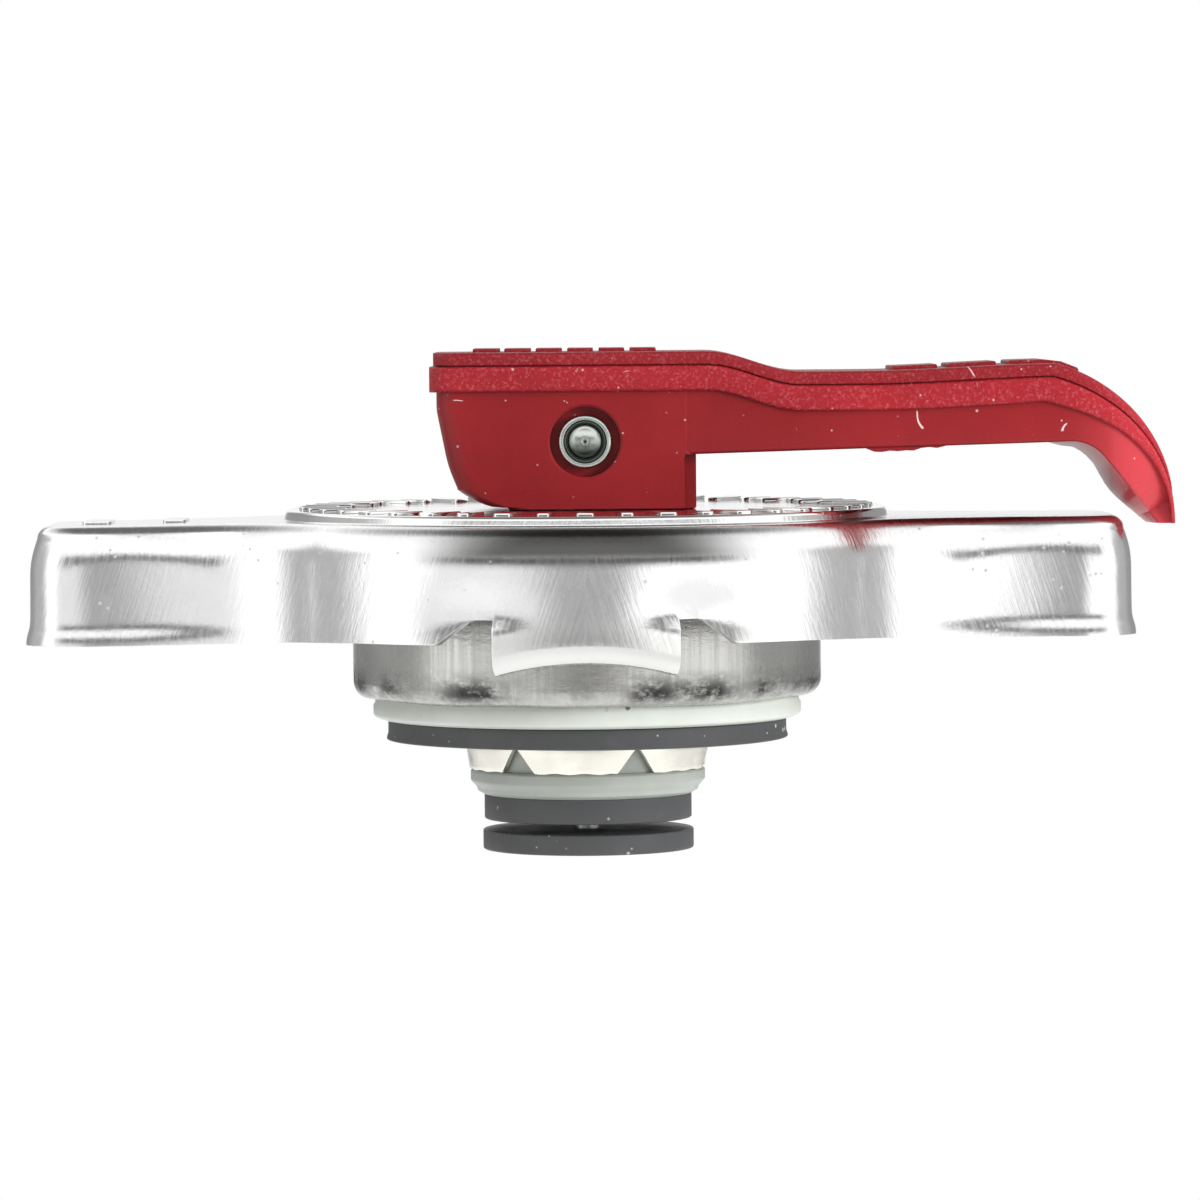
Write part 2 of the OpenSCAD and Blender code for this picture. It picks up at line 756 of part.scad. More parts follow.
module pressure_seal() color("dimgray") {
    soft = 0.2;
    r = pressure_r;
    lo = plug_z - pressure_t;
    rotate_extrude() polygon(concat(
        [[seal_hole_r + fine, plug_z - fine], [seal_hole_r + fine, lo]],
        arc([r - soft, lo + soft], soft, -90, 0, 3),
        [[r, plug_z - fine]]
    ));
}

module vacuum_disc() color("dimgray") {
    soft = 0.2;
    r = vacuum_r;
    rotate_extrude() polygon(concat(
        [
            [vacuum_stem_r + fine, vacuum_top], [vacuum_stem_r + fine, vacuum_z + rivet_t],
            [rivet_r + seat_gap, vacuum_z + rivet_t], [rivet_r + seat_gap, vacuum_z]
        ],
        arc([r - soft, vacuum_z + soft], soft, -90, 0, 3),
        arc([r - soft, vacuum_top - soft], soft, 0, 90, 3)
    ));
}

module vacuum_stem() color("silver") {
    foot = vacuum_z + seat_gap;
    top = plug_z + web_t + seat_gap + keeper_t;
    translate([0, 0, foot]) cylinder(rivet_t - seat_gap - fine, r = rivet_r);
    translate([0, 0, foot]) cylinder(top - foot, r = vacuum_stem_r);
}

module vacuum_keeper() color("silver") {
    translate([0, 0, plug_z + web_t + seat_gap]) difference() {
        cylinder(keeper_t, r = vacuum_stem_r + keeper_over);
        translate([0, 0, -keeper_t]) cylinder(3 * keeper_t, r = vacuum_stem_r + fine);
    }
}

shell();
spring_disc();
eyelet();
bell_washer();
stem_seal();
bell();
gasket_carrier();
upper_seal();
main_spring();
stem();
lift_washer();
lever_pin();
lever();
valve_cup();
valve_body();
pressure_seal();
vacuum_disc();
vacuum_stem();
vacuum_keeper();
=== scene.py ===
import math

import bmesh
import bpy
from mathutils import Matrix, Vector, noise


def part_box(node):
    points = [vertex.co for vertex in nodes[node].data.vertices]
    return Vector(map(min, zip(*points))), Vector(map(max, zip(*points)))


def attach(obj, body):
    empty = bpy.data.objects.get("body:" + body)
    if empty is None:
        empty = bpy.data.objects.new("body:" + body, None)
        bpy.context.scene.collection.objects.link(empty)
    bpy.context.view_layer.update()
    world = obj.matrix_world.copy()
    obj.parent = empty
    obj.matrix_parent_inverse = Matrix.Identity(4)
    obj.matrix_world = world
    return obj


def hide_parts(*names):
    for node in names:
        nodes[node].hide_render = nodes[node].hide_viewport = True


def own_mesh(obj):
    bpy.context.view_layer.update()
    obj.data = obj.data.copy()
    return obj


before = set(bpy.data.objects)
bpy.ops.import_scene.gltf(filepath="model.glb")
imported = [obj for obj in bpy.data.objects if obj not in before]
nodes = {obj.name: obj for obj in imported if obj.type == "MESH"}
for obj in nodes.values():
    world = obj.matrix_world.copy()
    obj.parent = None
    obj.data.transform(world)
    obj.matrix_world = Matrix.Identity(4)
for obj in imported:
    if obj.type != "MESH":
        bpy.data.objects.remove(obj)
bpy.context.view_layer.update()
MM = 0.001

# Sizes in millimetres, as in the part's source apart from the softer sweep to the ears and the deeper arm
SHELL_R, RIGHT_X, LEFT_X, EAR_Y = 24.0, 39.05, 39.85, 8.0
EAR_BLEND, EAR_SWEEP, SWEEP_TURN = 15.0, 30.0, 14.0
SHEET, EDGE_R, TOP_Z, SKIRT_Z, NOTCH_Z = 0.7, 1.8, 15.95, 7.7, 9.6
CROWN_Z, CROWN_R, RECESS_R, RECESS_Z, EYELET_R = 16.65, 21.7, 4.65, 15.95, 3.1
LUG_HALF, LUG_Z, LUG_BEND, LUG_REACH = 6.5, 6.0, 1.4, 3.2
NOTCH_TOP, NOTCH_FLANK, SKIRT_RUN = 1.7, 2.2, 15.0
BELL_R, BELL_T, BELL_Z, BELL_TOP, BELL_EDGE, LIP_R = 16.9, 0.55, 3.1, 15.1, 1.2, 15.6
PIN_Z, TOP_H, LIP_X, DIP, BLOCK_X, FOOT_Z = 21.53, 6.37, 11.08, 1.5, 7.9, -4.83
CAP_H, CAP_STEP, GROOVE, BAND_Y, TOP_Y, WALL_Y = 2.8, 1.0, 0.08, 8.0, 7.78, 7.57
TIP_X, TIP_R, TIP_C, TIP_START = 42.25, 12.0, (30.25, -6.24), 74
ARM_Z, ARM_END_Z, LEVEL_X, TIP_IN_R, TIP_LEAN, TIP_IN_X = -0.95, -0.26, 34.58, 3.0, 50.2, 41.0


# Shapes

def arc(c, r, a0, a1, n):
    """Points on an arc, angles in degrees."""
    out = []
    for i in range(n + 1):
        a = math.radians(a0 + (a1 - a0) * i / n)
        out.append((c[0] + r * math.cos(a), c[1] + r * math.sin(a)))
    return out


def rounded(points, n=5, closed=True):
    """Polygon or line of (x, y) or (x, y, radius) with its corners rounded."""
    out = []
    count = len(points)
    for i, p in enumerate(points):
        r = p[2] if len(p) > 2 else 0
        if r <= 0 or (not closed and i in (0, count - 1)):
            out.append((p[0], p[1]))
            continue
        b = Vector(p[:2])
        u = (Vector(points[i - 1][:2]) - b).normalized()
        v = (Vector(points[(i + 1) % count][:2]) - b).normalized()
        half = u.angle(v) / 2
        run = r / math.tan(half)
        c = b + (u + v).normalized() * (r / math.sin(half))
        s, e = b + u * run - c, b + v * run - c
        turn = s.angle_signed(e)
        for k in range(n + 1):
            a = -turn * k / n
            d = Vector((s.x * math.cos(a) - s.y * math.sin(a), s.x * math.sin(a) + s.y * math.cos(a)))
            out.append(tuple(c + d))
    return out


def lerp(a, b, t):
    """Value between a and b."""
    return a + (b - a) * t


def ease(t):
    """Smooth step from 0 to 1."""
    t = min(1.0, max(0.0, t))
    return t * t * (3 - 2 * t)


def piece(name, verts, faces, body, material, slot, replaced=(), sharp=35, bevel=0.0, segments=2, solid=0.0):
    """A mesh object from points in millimetres, with clean normals, that rides on a body."""
    bm = bmesh.new()
    vs = [bm.verts.new((x * MM, y * MM, z * MM)) for x, y, z in verts]
    for f in faces:
        try:
            bm.faces.new([vs[i] for i in f])
        except ValueError:
            pass
    bmesh.ops.remove_doubles(bm, verts=bm.verts, dist=0.002 * MM)
    bmesh.ops.dissolve_degenerate(bm, dist=0.001 * MM, edges=bm.edges)
    if not solid:
        bmesh.ops.recalc_face_normals(bm, faces=bm.faces)
    mesh = bpy.data.meshes.new(name)
    bm.to_mesh(mesh)
    bm.free()
    ob = bpy.data.objects.new(name, mesh)
    bpy.context.scene.collection.objects.link(ob)
    if solid:
        m = ob.modifiers.new("sheet", "SOLIDIFY")
        m.thickness = solid * MM
        m.offset = -1
        m.use_even_offset = True
    if bevel:
        m = ob.modifiers.new("edges", "BEVEL")
        m.width = bevel * MM
        m.segments = segments
        m.limit_method = "ANGLE"
        m.angle_limit = math.radians(50)
        m.harden_normals = False
    if solid or bevel:
        settle(ob)
    finish_mesh(ob, sharp)
    ob.data.materials.append(material)
    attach(ob, body)
    if replaced:
        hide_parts(*replaced)
    return ob


def settle(ob):
    """Turns an object's modifiers into its mesh."""
    graph = bpy.context.evaluated_depsgraph_get()
    graph.update()
    mesh = bpy.data.meshes.new_from_object(ob.evaluated_get(graph))
    ob.modifiers.clear()
    ob.data = mesh


def finish_mesh(ob, sharp):
    """Smooth shading with sharp edges kept over an angle."""
    for p in ob.data.polygons:
        p.use_smooth = True
    ob.data.set_sharp_from_angle(angle=math.radians(sharp))


def loft(rings):
    """Quads between rings that have the same count, closed at both ends."""
    n = len(rings[0])
    verts = [p for ring in rings for p in ring]
    faces = []
    for i in range(len(rings) - 1):
        for j in range(n):
            k = (j + 1) % n
            faces.append((i * n + j, i * n + k, (i + 1) * n + k, (i + 1) * n + j))
    faces.append(tuple(range(n - 1, -1, -1)))
    faces.append(tuple((len(rings) - 1) * n + j for j in range(n)))
    return verts, faces


def revolve(profile, n=240, shape=None):
    """Closed profile of (r, z) turned about the Z axis; shape may move each point."""
    verts, faces = [], []
    m = len(profile)
    for i in range(n):
        a = 2 * math.pi * i / n
        for r, z in profile:
            r2, z2 = shape(r, z, a) if shape else (r, z)
            verts.append((r2 * math.sin(a), -r2 * math.cos(a), z2))
    for i in range(n):
        for j in range(m):
            k = (j + 1) % m
            w = (i + 1) % n
            faces.append((i * m + j, i * m + k, w * m + k, w * m + j))
    return verts, faces


def ripple(a, count, seed):
    """Smooth value between about -1 and 1 that runs round a circle."""
    k = count / (2 * math.pi)
    return noise.noise(Vector((k * math.cos(a) + seed, k * math.sin(a) - seed, 0.37 * seed))) * 1.6


# Materials

class Nodes:
    """A short way to write the nodes of a material or of the world."""

    def __init__(self, name, world=False):
        self.owner = (bpy.data.worlds if world else bpy.data.materials).new(name)
        self.owner.use_nodes = True
        self.tree = self.owner.node_tree
        self.shader = self.tree.nodes["Background" if world else "Principled BSDF"]
        self.coord = self.add("ShaderNodeTexCoord", "Generated" if world else "Object")

    def put(self, target, value):
        if isinstance(value, bpy.types.NodeSocket):
            self.tree.links.new(value, target)
        else:
            target.default_value = value

    def add(self, kind, out=0, props=None, **inputs):
        n = self.tree.nodes.new(kind)
        for k, v in (props or {}).items():
            setattr(n, k, v)
        for k, v in inputs.items():
            key = int(k[1:]) if k[0] == "i" and k[1:].isdigit() else k.replace("_", " ")
            self.put(n.inputs[key], v)
        return n.outputs[out]

    def math(self, op, a, b=0.0):
        return self.add("ShaderNodeMath", props={"operation": op}, i0=a, i1=b)

    def scaled(self, vector, scale):
        return self.add("ShaderNodeVectorMath", props={"operation": "MULTIPLY"}, i0=vector, i1=scale)

    def noise(self, vector, scale, detail=2.0, rough=0.5):
        return self.add("ShaderNodeTexNoise", 0, Vector=vector, Scale=scale, Detail=detail, Roughness=rough)

    def cells(self, vector, scale):
        return self.add("ShaderNodeTexVoronoi", "Distance", Vector=vector, Scale=scale)

    def span(self, value, a, b, c=0.0, d=1.0, smooth=False):
        props = {"interpolation_type": "SMOOTHSTEP"} if smooth else {}
        return self.add("ShaderNodeMapRange", props=props, Value=value, i1=a, i2=b, i3=c, i4=d)

    def mix(self, t, a, b):
        n = self.tree.nodes.new("ShaderNodeMix")
        n.data_type = "RGBA"
        self.put(n.inputs[0], t)
        self.put(n.inputs[6], a if isinstance(a, bpy.types.NodeSocket) else (*a, 1))
        self.put(n.inputs[7], b if isinstance(b, bpy.types.NodeSocket) else (*b, 1))
        return n.outputs[2]

    def split(self, vector):
        n = self.tree.nodes.new("ShaderNodeSeparateXYZ")
        self.put(n.inputs[0], vector)
        return n.outputs

    def join(self, x, y, z):
        return self.add("ShaderNodeCombineXYZ", i0=x, i1=y, i2=z)

    def bump(self, height, strength, distance, normal=None):
        n = self.tree.nodes.new("ShaderNodeBump")
        n.inputs["Strength"].default_value = strength
        n.inputs["Distance"].default_value = distance
        self.put(n.inputs["Height"], height)
        if normal is not None:
            self.put(n.inputs["Normal"], normal)
        return n.outputs[0]

    def set(self, **inputs):
        for k, v in inputs.items():
            self.put(self.shader.inputs[k.replace("_", " ")], v)
        return self.owner


def specks(m, scale, size, seed):
    """Sparse small dots, 1 inside a dot."""
    v = m.add("ShaderNodeVectorMath", props={"operation": "ADD"}, i0=m.coord, i1=(seed, -seed, 0.5 * seed))
    dist = m.cells(v, scale)
    few = m.noise(v, scale * 0.31, 1.0)
    dot = m.span(dist, size, size * 0.6)
    return m.math("MULTIPLY", dot, m.span(few, 0.58, 0.62))


def shell_steel(name, base, rough, grain, wave, painted_reflection):
    """Drawn sheet steel: slanting draw lines, fine orange peel, pits, a slow wave, and painted dark
    reflections on the body's rim, lower edge and lugs.
    """
    m = Nodes(name)
    x, y, z = m.split(m.coord)
    side = m.math("ABSOLUTE", x)
    apart = m.math("MULTIPLY", m.math("SIGN", x), 9.0)
    lean = 0.32
    across = m.math("ADD", m.math("MULTIPLY", side, math.cos(lean)), m.math("MULTIPLY", z, math.sin(lean)))
    along = m.math("MULTIPLY", z, math.cos(lean))
    along = m.math("SUBTRACT", along, m.math("MULTIPLY", side, math.sin(lean)))
    lines = m.noise(m.join(m.math("MULTIPLY", across, 5200.0), m.math("MULTIPLY", y, 2600.0),
                           m.math("ADD", m.math("MULTIPLY", along, 260.0), apart)), 1.0, 3.0, 0.6)
    peel = m.noise(m.coord, 2600.0, 2.0)
    slow = m.noise(m.coord, 130.0, 1.0)
    pits = specks(m, 1100.0, 0.16, 3.1)
    stain = m.noise(m.coord, 320.0, 4.0, 0.65)
    colour = m.mix(m.span(stain, 0.35, 0.75), base, [c * 0.93 for c in base])
    # Painted reflection: the rim at the front and back of the body is darkened nearly to black.
    body = m.span(m.math("ABSOLUTE", y), 20.0 * MM, 23.2 * MM, smooth=True)
    rim = m.math("MULTIPLY", m.span(z, 12.9 * MM, 14.3 * MM, smooth=True), m.span(z, 15.94 * MM, 15.9 * MM))
    colour = m.mix(m.math("MULTIPLY", m.math("MULTIPLY", body, rim), painted_reflection), colour, (0.072, 0.071, 0.067))
    # Painted reflection: the skirt's lower edge and the lugs at the front and back are made darker.
    low_edge_reflection = m.math("MULTIPLY", body, m.span(z, 9.4 * MM, 7.8 * MM, smooth=True))
    colour = m.mix(m.math("MULTIPLY", low_edge_reflection, 0.35 * painted_reflection), colour, (0.55, 0.54, 0.5))
    colour = m.mix(m.math("MULTIPLY", pits, 0.25), colour, [c * 0.4 for c in base])
    roughness = m.span(lines, 0.3, 0.7, rough * 0.7, rough * 1.3)
    roughness = m.math("ADD", roughness, m.math("MULTIPLY", pits, 0.3))
    n = m.bump(slow, wave, 0.0012)
    n = m.bump(lines, grain, 0.00004, n)
    n = m.bump(peel, grain * 0.6, 0.00003, n)
    n = m.bump(m.math("SUBTRACT", 0.0, pits), 0.2, 0.00004, n)
    return m.set(Base_Color=colour, Metallic=1.0, Roughness=roughness, Normal=n)


def drawn_steel(name, base, rough, low, mid, high, stain_base):
    """Drawn cup steel: upright draw lines, with stains and scuffs towards the lower edge."""
    m = Nodes(name)
    z = m.split(m.coord)[2]
    upright = m.noise(m.scaled(m.coord, (3200.0, 3200.0, 90.0)), 1.0, 3.0, 0.6)
    blot = m.noise(m.scaled(m.coord, (420.0, 420.0, 1100.0)), 1.0, 5.0, 0.7)
    fine = m.noise(m.coord, 1500.0, 3.0, 0.7)
    above = m.span(z, high * MM, mid * MM, smooth=True)
    near = m.math("MULTIPLY", above, m.span(z, low * MM, mid * MM, smooth=True))
    patch = m.span(m.noise(m.scaled(m.coord, (150.0, 150.0, 0.0)), 1.0, 2.0), 0.4, 0.55, 0.15, 1.0)
    mottle = m.span(m.math("ADD", blot, m.math("MULTIPLY", fine, 0.5)), 0.56, 0.8)
    dirt = m.math("MULTIPLY", m.math("MULTIPLY", near, patch), mottle)
    pits = specks(m, 900.0, 0.16, 1.7)
    colour = m.mix(m.span(upright, 0.35, 0.7), base, [c * 0.86 for c in base])
    colour = m.mix(dirt, colour, stain_base)
    colour = m.mix(m.math("MULTIPLY", pits, 0.5), colour, [c * 0.25 for c in base])
    roughness = m.span(upright, 0.3, 0.7, rough * 0.75, rough * 1.25)
    roughness = m.math("ADD", roughness, m.math("MULTIPLY", dirt, 0.25))
    n = m.bump(upright, 0.25, 0.00004)
    n = m.bump(blot, 0.35, 0.0001, n)
    n = m.bump(fine, 0.15, 0.00004, n)
    return m.set(Base_Color=colour, Metallic=1.0, Roughness=roughness, Normal=n)


def plain_steel(name, base, rough, scale=1200.0):
    """Turned or plated steel with fine marks."""
    m = Nodes(name)
    grain = m.noise(m.coord, scale, 4.0, 0.65)
    soft = m.noise(m.coord, scale * 0.18, 2.0)
    colour = m.mix(m.span(soft, 0.3, 0.7), base, [c * 0.84 for c in base])
    n = m.bump(grain, 0.12, 0.00004)
    roughness = m.span(grain, 0.3, 0.7, rough * 0.7, rough * 1.4)
    return m.set(Base_Color=colour, Metallic=1.0, Roughness=roughness, Normal=n)


def pin_steel(name, rim, dome, dark, rough):
    """Riveted pin end: bright rolled rim, painted shade in its groove and central dimple, and a dome painted
    darker below as painted shade.
    """
    m = Nodes(name)
    x, _, z = m.split(m.coord)
    up = m.math("SUBTRACT", z, PIN_Z * MM)
    r = m.math("SQRT", m.math("ADD", m.math("MULTIPLY", x, x), m.math("MULTIPLY", up, up)))
    grain = m.noise(m.coord, 1500.0, 4.0, 0.65)
    height = m.math("ADD", up, m.math("MULTIPLY", grain, 0.6 * MM))
    # Painted shade: the lower part of the pin's face is darker, a little uneven with the grain.
    colour = m.mix(m.span(height, -0.4 * MM, 0.9 * MM), dark, dome)
    # Painted shade in the groove round the dome.
    colour = m.mix(m.span(r, 1.05 * MM, 1.2 * MM), colour, dark)
    colour = m.mix(m.span(r, 1.35 * MM, 1.55 * MM), colour, rim)
    # Painted shade in the dimple at the middle.
    colour = m.mix(m.span(r, 0.16 * MM, 0.1 * MM), colour, dark)
    n = m.bump(grain, 0.2, 0.00005)
    roughness = m.span(grain, 0.3, 0.7, rough * 0.7, rough * 1.4)
    return m.set(Base_Color=colour, Metallic=1.0, Roughness=roughness, Normal=n)


def red_plastic(name, base, grain, gloss, dust, painted_tip_light):
    """Moulded plastic: grained or smooth, with white scuffs, hairs, dust, and painted light that makes the
    curled tip paler.
    """
    m = Nodes(name)
    shift = m.noise(m.coord, 160.0, 3.0, 0.55)
    rough_grain = m.noise(m.coord, 3300.0, 3.0, 0.6)
    fine = m.noise(m.coord, 5200.0, 2.0)
    dots = m.math("MAXIMUM", specks(m, 900.0, 0.11, 2.2), specks(m, 1500.0, 0.13, 5.7))
    stir = m.scaled(m.add("ShaderNodeTexNoise", 1, Vector=m.coord, Scale=330.0), (0.0016, 0.0016, 0.0016))
    hair_warp = m.add("ShaderNodeVectorMath", props={"operation": "ADD"}, i0=m.coord, i1=stir)
    hair_line = m.math("ABSOLUTE", m.math("SUBTRACT", m.noise(hair_warp, 210.0, 0.0), 0.5))
    few = m.span(m.noise(m.coord, 420.0, 1.0), 0.66, 0.69)
    hairs = m.math("MULTIPLY", m.span(hair_line, 0.0045, 0.002), few)
    pale = [min(1.0, c * 1.35 + 0.12) for c in base]
    colour = m.mix(m.span(shift, 0.3, 0.7), [c * 0.9 for c in base], [min(1.0, c * 1.1) for c in base])
    # Painted light: the arm turns paler towards its tip, where the light falls.
    x = m.split(m.coord)[0]
    colour = m.mix(m.span(x, 33.5 * MM, 40.5 * MM, smooth=True), colour, painted_tip_light)
    tips = m.math("MULTIPLY", m.span(fine, 0.5, 0.72), m.span(rough_grain, 0.4, 0.6, 0.35, 1.0))
    colour = m.mix(m.math("MULTIPLY", tips, grain * 0.5), colour, pale)
    marks = m.math("MULTIPLY", m.math("MAXIMUM", m.math("MULTIPLY", dots, 0.6), hairs), dust)
    colour = m.mix(marks, colour, (0.75, 0.62, 0.6))
    roughness = m.span(shift, 0.2, 0.8, gloss * 0.85, gloss * 1.15)
    roughness = m.math("ADD", roughness, m.math("MULTIPLY", marks, 0.3))
    n = m.bump(rough_grain, 0.75 * grain, 0.00016)
    n = m.bump(fine, 0.12, 0.00003, n)
    return m.set(Base_Color=colour, Roughness=roughness, Normal=n, IOR=1.5, Specular_IOR_Level=0.25)


def grey_plastic(name, base):
    """Moulded grey plastic with faint cloud and grime."""
    m = Nodes(name)
    shade = m.noise(m.coord, 240.0, 3.0, 0.6)
    fine = m.noise(m.coord, 3000.0, 2.0)
    grime = specks(m, 620.0, 0.14, 4.4)
    colour = m.mix(m.span(shade, 0.3, 0.7), [c * 0.9 for c in base], base)
    colour = m.mix(m.math("MULTIPLY", grime, 0.8), colour, (0.05, 0.05, 0.05))
    n = m.bump(fine, 0.1, 0.00003)
    n = m.bump(shade, 0.2, 0.0002, n)
    return m.set(Base_Color=colour, Roughness=m.span(fine, 0.3, 0.7, 0.36, 0.5), Normal=n, IOR=1.49)


def rubber(name, base):
    """Dark rubber with a slight bloom and dust."""
    m = Nodes(name)
    shade = m.noise(m.coord, 300.0, 3.0, 0.6)
    fine = m.noise(m.coord, 3600.0, 3.0, 0.6)
    dust = m.math("MAXIMUM", specks(m, 700.0, 0.15, 6.3), specks(m, 1500.0, 0.12, 8.8))
    bloom = m.span(m.noise(m.coord, 520.0, 4.0, 0.7), 0.55, 0.8, 0.0, 0.25)
    colour = m.mix(bloom, base, [c * 2.0 for c in base])
    colour = m.mix(m.math("MULTIPLY", dust, 0.85), colour, (0.7, 0.7, 0.68))
    n = m.bump(fine, 0.2, 0.00004)
    n = m.bump(shade, 0.15, 0.0002, n)
    return m.set(Base_Color=colour, Roughness=m.span(shade, 0.3, 0.7, 0.4, 0.55), Normal=n, IOR=1.5)


# The last value is the strength of the painted dark reflections on the shell; the crown has none.
M_SHELL = shell_steel("shell_steel", (0.83, 0.835, 0.83), 0.2, 0.34, 0.08, 0.97)
M_CROWN = shell_steel("crown_steel", (0.82, 0.82, 0.81), 0.1, 0.08, 0.02, 0.0)
M_BELL = drawn_steel("bell_steel", (0.52, 0.517, 0.497), 0.24, 2.9, 4.0, 6.0, (0.05, 0.05, 0.05))
M_CUP = plain_steel("cup_steel", (0.96, 0.94, 0.85), 0.34)
M_PLATED = plain_steel("plated_steel", (0.72, 0.72, 0.71), 0.22)
# The pin's third colour is its painted shade.
M_PIN = pin_steel("pin_steel", (0.52, 0.56, 0.53), (0.6, 0.63, 0.59), (0.05, 0.06, 0.05), 0.26)
M_SPRING = plain_steel("spring_steel", (0.55, 0.56, 0.58), 0.28)
# The last colour of each red is the painted light on the lever's tip.
M_BAND = red_plastic("red_grained", (0.295, 0.0095, 0.0165), 1.0, 0.4, 0.85, (0.42, 0.02, 0.03))
# The top layer's red is a darker copy of the band's grained red: painted shade on the lever's top layer and
# pads.
M_TOP = red_plastic("red_top", (0.225, 0.0075, 0.013), 0.8, 0.42, 0.7, (0.36, 0.018, 0.027))
M_WALL = red_plastic("red_smooth", (0.225, 0.01, 0.013), 0.06, 0.3, 0.8, (0.5, 0.042, 0.054))
# Carrier and valve plug are one grey plastic: the carrier's tone is painted lighter as painted light, the
# plug's darker as painted shade.
M_GREY = grey_plastic("grey_plastic", (0.6, 0.63, 0.58))
M_PLUG = grey_plastic("grey_plug", (0.385, 0.41, 0.375))
M_RUBBER = rubber("rubber", (0.057, 0.058, 0.06))


# Shell

def notch_edge():
    """Lower edge of the skirt beside a lug, as points of distance from the middle and height."""
    top = LUG_HALF + NOTCH_TOP
    foot = top + NOTCH_FLANK
    line = [(LUG_HALF, NOTCH_Z, 0), (top, NOTCH_Z, 0.9), (foot, SKIRT_Z, 0.7), (SKIRT_RUN, SKIRT_Z, 0)]
    return rounded(line, 7, closed=False)


def edge_at(x, line):
    """Height of the skirt's lower edge at a distance from the middle."""
    for (x0, z0), (x1, z1) in zip(line, line[1:]):
        if x <= x1:
            return lerp(z0, z1, (x - x0) / (x1 - x0) if x1 > x0 else 0)
    return SKIRT_Z


def quarter(line, ear_x):
    """Columns from the front to the middle of an ear: point, outward direction, kind."""
    cols = []
    turn = math.radians(SWEEP_TURN)
    blend_y = EAR_Y + EAR_SWEEP * (1 - math.cos(turn)) + EAR_BLEND * math.cos(turn)
    blend_x = math.sqrt((SHELL_R + EAR_BLEND) ** 2 - blend_y ** 2)
    sweep_x = blend_x + (EAR_SWEEP - EAR_BLEND) * math.sin(turn)
    end = math.degrees(math.atan2(blend_x, blend_y))
    lug_a = math.degrees(math.asin(LUG_HALF / SHELL_R))
    angles = sorted({round(math.degrees(math.asin(x / SHELL_R)), 4) for x, _ in line if x < SKIRT_RUN - 0.1})
    angles = [lug_a * i / 22 for i in range(22)] + [lug_a] + [a for a in angles if a > lug_a + 0.02]
    last = angles[-1]
    angles += [lerp(last, end, i / 48) for i in range(1, 49)]
    for a in angles:
        s, c = math.sin(math.radians(a)), math.cos(math.radians(a))
        kind = "lug" if a < lug_a - 1e-6 else "cut" if abs(a - lug_a) < 1e-6 else "skirt"
        cols.append((SHELL_R * s, -SHELL_R * c, s, -c, kind))
    for i in range(1, 49):
        a = math.radians(lerp(end, SWEEP_TURN, i / 48))
        s, c = math.sin(a), math.cos(a)
        cols.append((blend_x - EAR_BLEND * s, EAR_BLEND * c - blend_y, s, -c, "skirt"))
    for i in range(1, 17):
        a = math.radians(lerp(SWEEP_TURN, 0, i / 16))
        s, c = math.sin(a), math.cos(a)
        cols.append((sweep_x - EAR_SWEEP * s, EAR_SWEEP * (c - 1) - EAR_Y, s, -c, "skirt"))
    long, size, power = ear_x - sweep_x, 4.2, 2.3
    for i in range(1, 33):
        a = math.radians(90 * i / 32)
        u, v = math.sin(a) ** (2 / power), math.cos(a) ** (2 / power)
        n = Vector((u ** (power - 1) / long, -v ** (power - 1) / size)).normalized()
        cols.append((sweep_x + long * u, size - EAR_Y - size * v, n.x, n.y, "skirt"))
    for i in range(1, 7):
        cols.append((ear_x, lerp(size - EAR_Y, 0, i / 6), 1.0, 0.0, "skirt"))
    return cols


def rim_line():
    """Drop of the rim from the flat top to the upright wall: offset inside the wall and depth."""
    r, turn, dive = 1.4, 30, 2.4
    angles = [math.radians(a) for a in range(90, turn - 1, -5)]
    line = [(r * math.cos(a), r - r * math.sin(a)) for a in angles]
    o, h = line[-1]
    steps = 20
    for i in range(steps):
        s0, s1 = dive * i / steps, dive * (i + 1) / steps
        lean = math.radians(turn * (1 - ease((i + 0.5) / steps)))
        o += (s1 - s0) * math.tan(lean)
        line.append((o, h + s1))
    return [(p - o, d) for p, d in line]


RIM = rim_line()


def flare(z, x=0.0):
    """Outward sweep of the skirt, gathered just over its lower edge and uneven along it."""
    sharp = lerp(4, 15, ease((abs(x) - 25) / 8)) + 4 * noise.noise(Vector((0.13 * x, 2.7, 0.4)))
    steps, total = 24, 0.0
    reach = max(0.0, TOP_Z - EDGE_R - z)
    height = TOP_Z - EDGE_R - SKIRT_Z
    for i in range(steps):
        u = reach * (i + 0.5) / steps / height
        lean = 0.2 + 1.2 * ease((u - 0.4) / 0.5) + sharp * math.exp(-((u - 0.9) / 0.085) ** 2)
        total += math.tan(math.radians(lean)) * reach / steps
    return total


def dent(x, y, z):
    """The sheet is drawn in a little over each notch."""
    d = math.hypot((abs(x) - LUG_HALF - 1.1) / 2.7, (z - NOTCH_Z - 0.2) / 1.7)
    return 0.42 * math.exp(-d * d) if abs(y) > 18 else 0.0


def droop(x):
    """The left ear hangs down a little towards its end."""
    return 0.22 * ease((-x - 21) / 16)


def hem(x):
    """Height of the skirt's lower edge over the level one: higher round the body than on the ears."""
    return lerp(0.16, -0.24, ease((abs(x) - 14) / 14))


def crown_line():
    """Points of radius and height from the crown's foot to the hole in its middle."""
    line = rounded([
        (CROWN_R + 0.42, TOP_Z, 0), (CROWN_R + 0.06, TOP_Z, 0.2), (CROWN_R - 0.04, CROWN_Z, 0.32),
        (RECESS_R + 0.6, CROWN_Z, 0.3), (RECESS_R, RECESS_Z, 0.25), (EYELET_R + 0.05, RECESS_Z, 0)
    ], 6, closed=False)
    out = []
    for (r0, z0), (r1, z1) in zip(line, line[1:]):
        steps = 1 + int((r0 - r1) / 1.2)
        out += [(lerp(r0, r1, i / steps), lerp(z0, z1, i / steps)) for i in range(steps)]
    return out + [line[-1]]


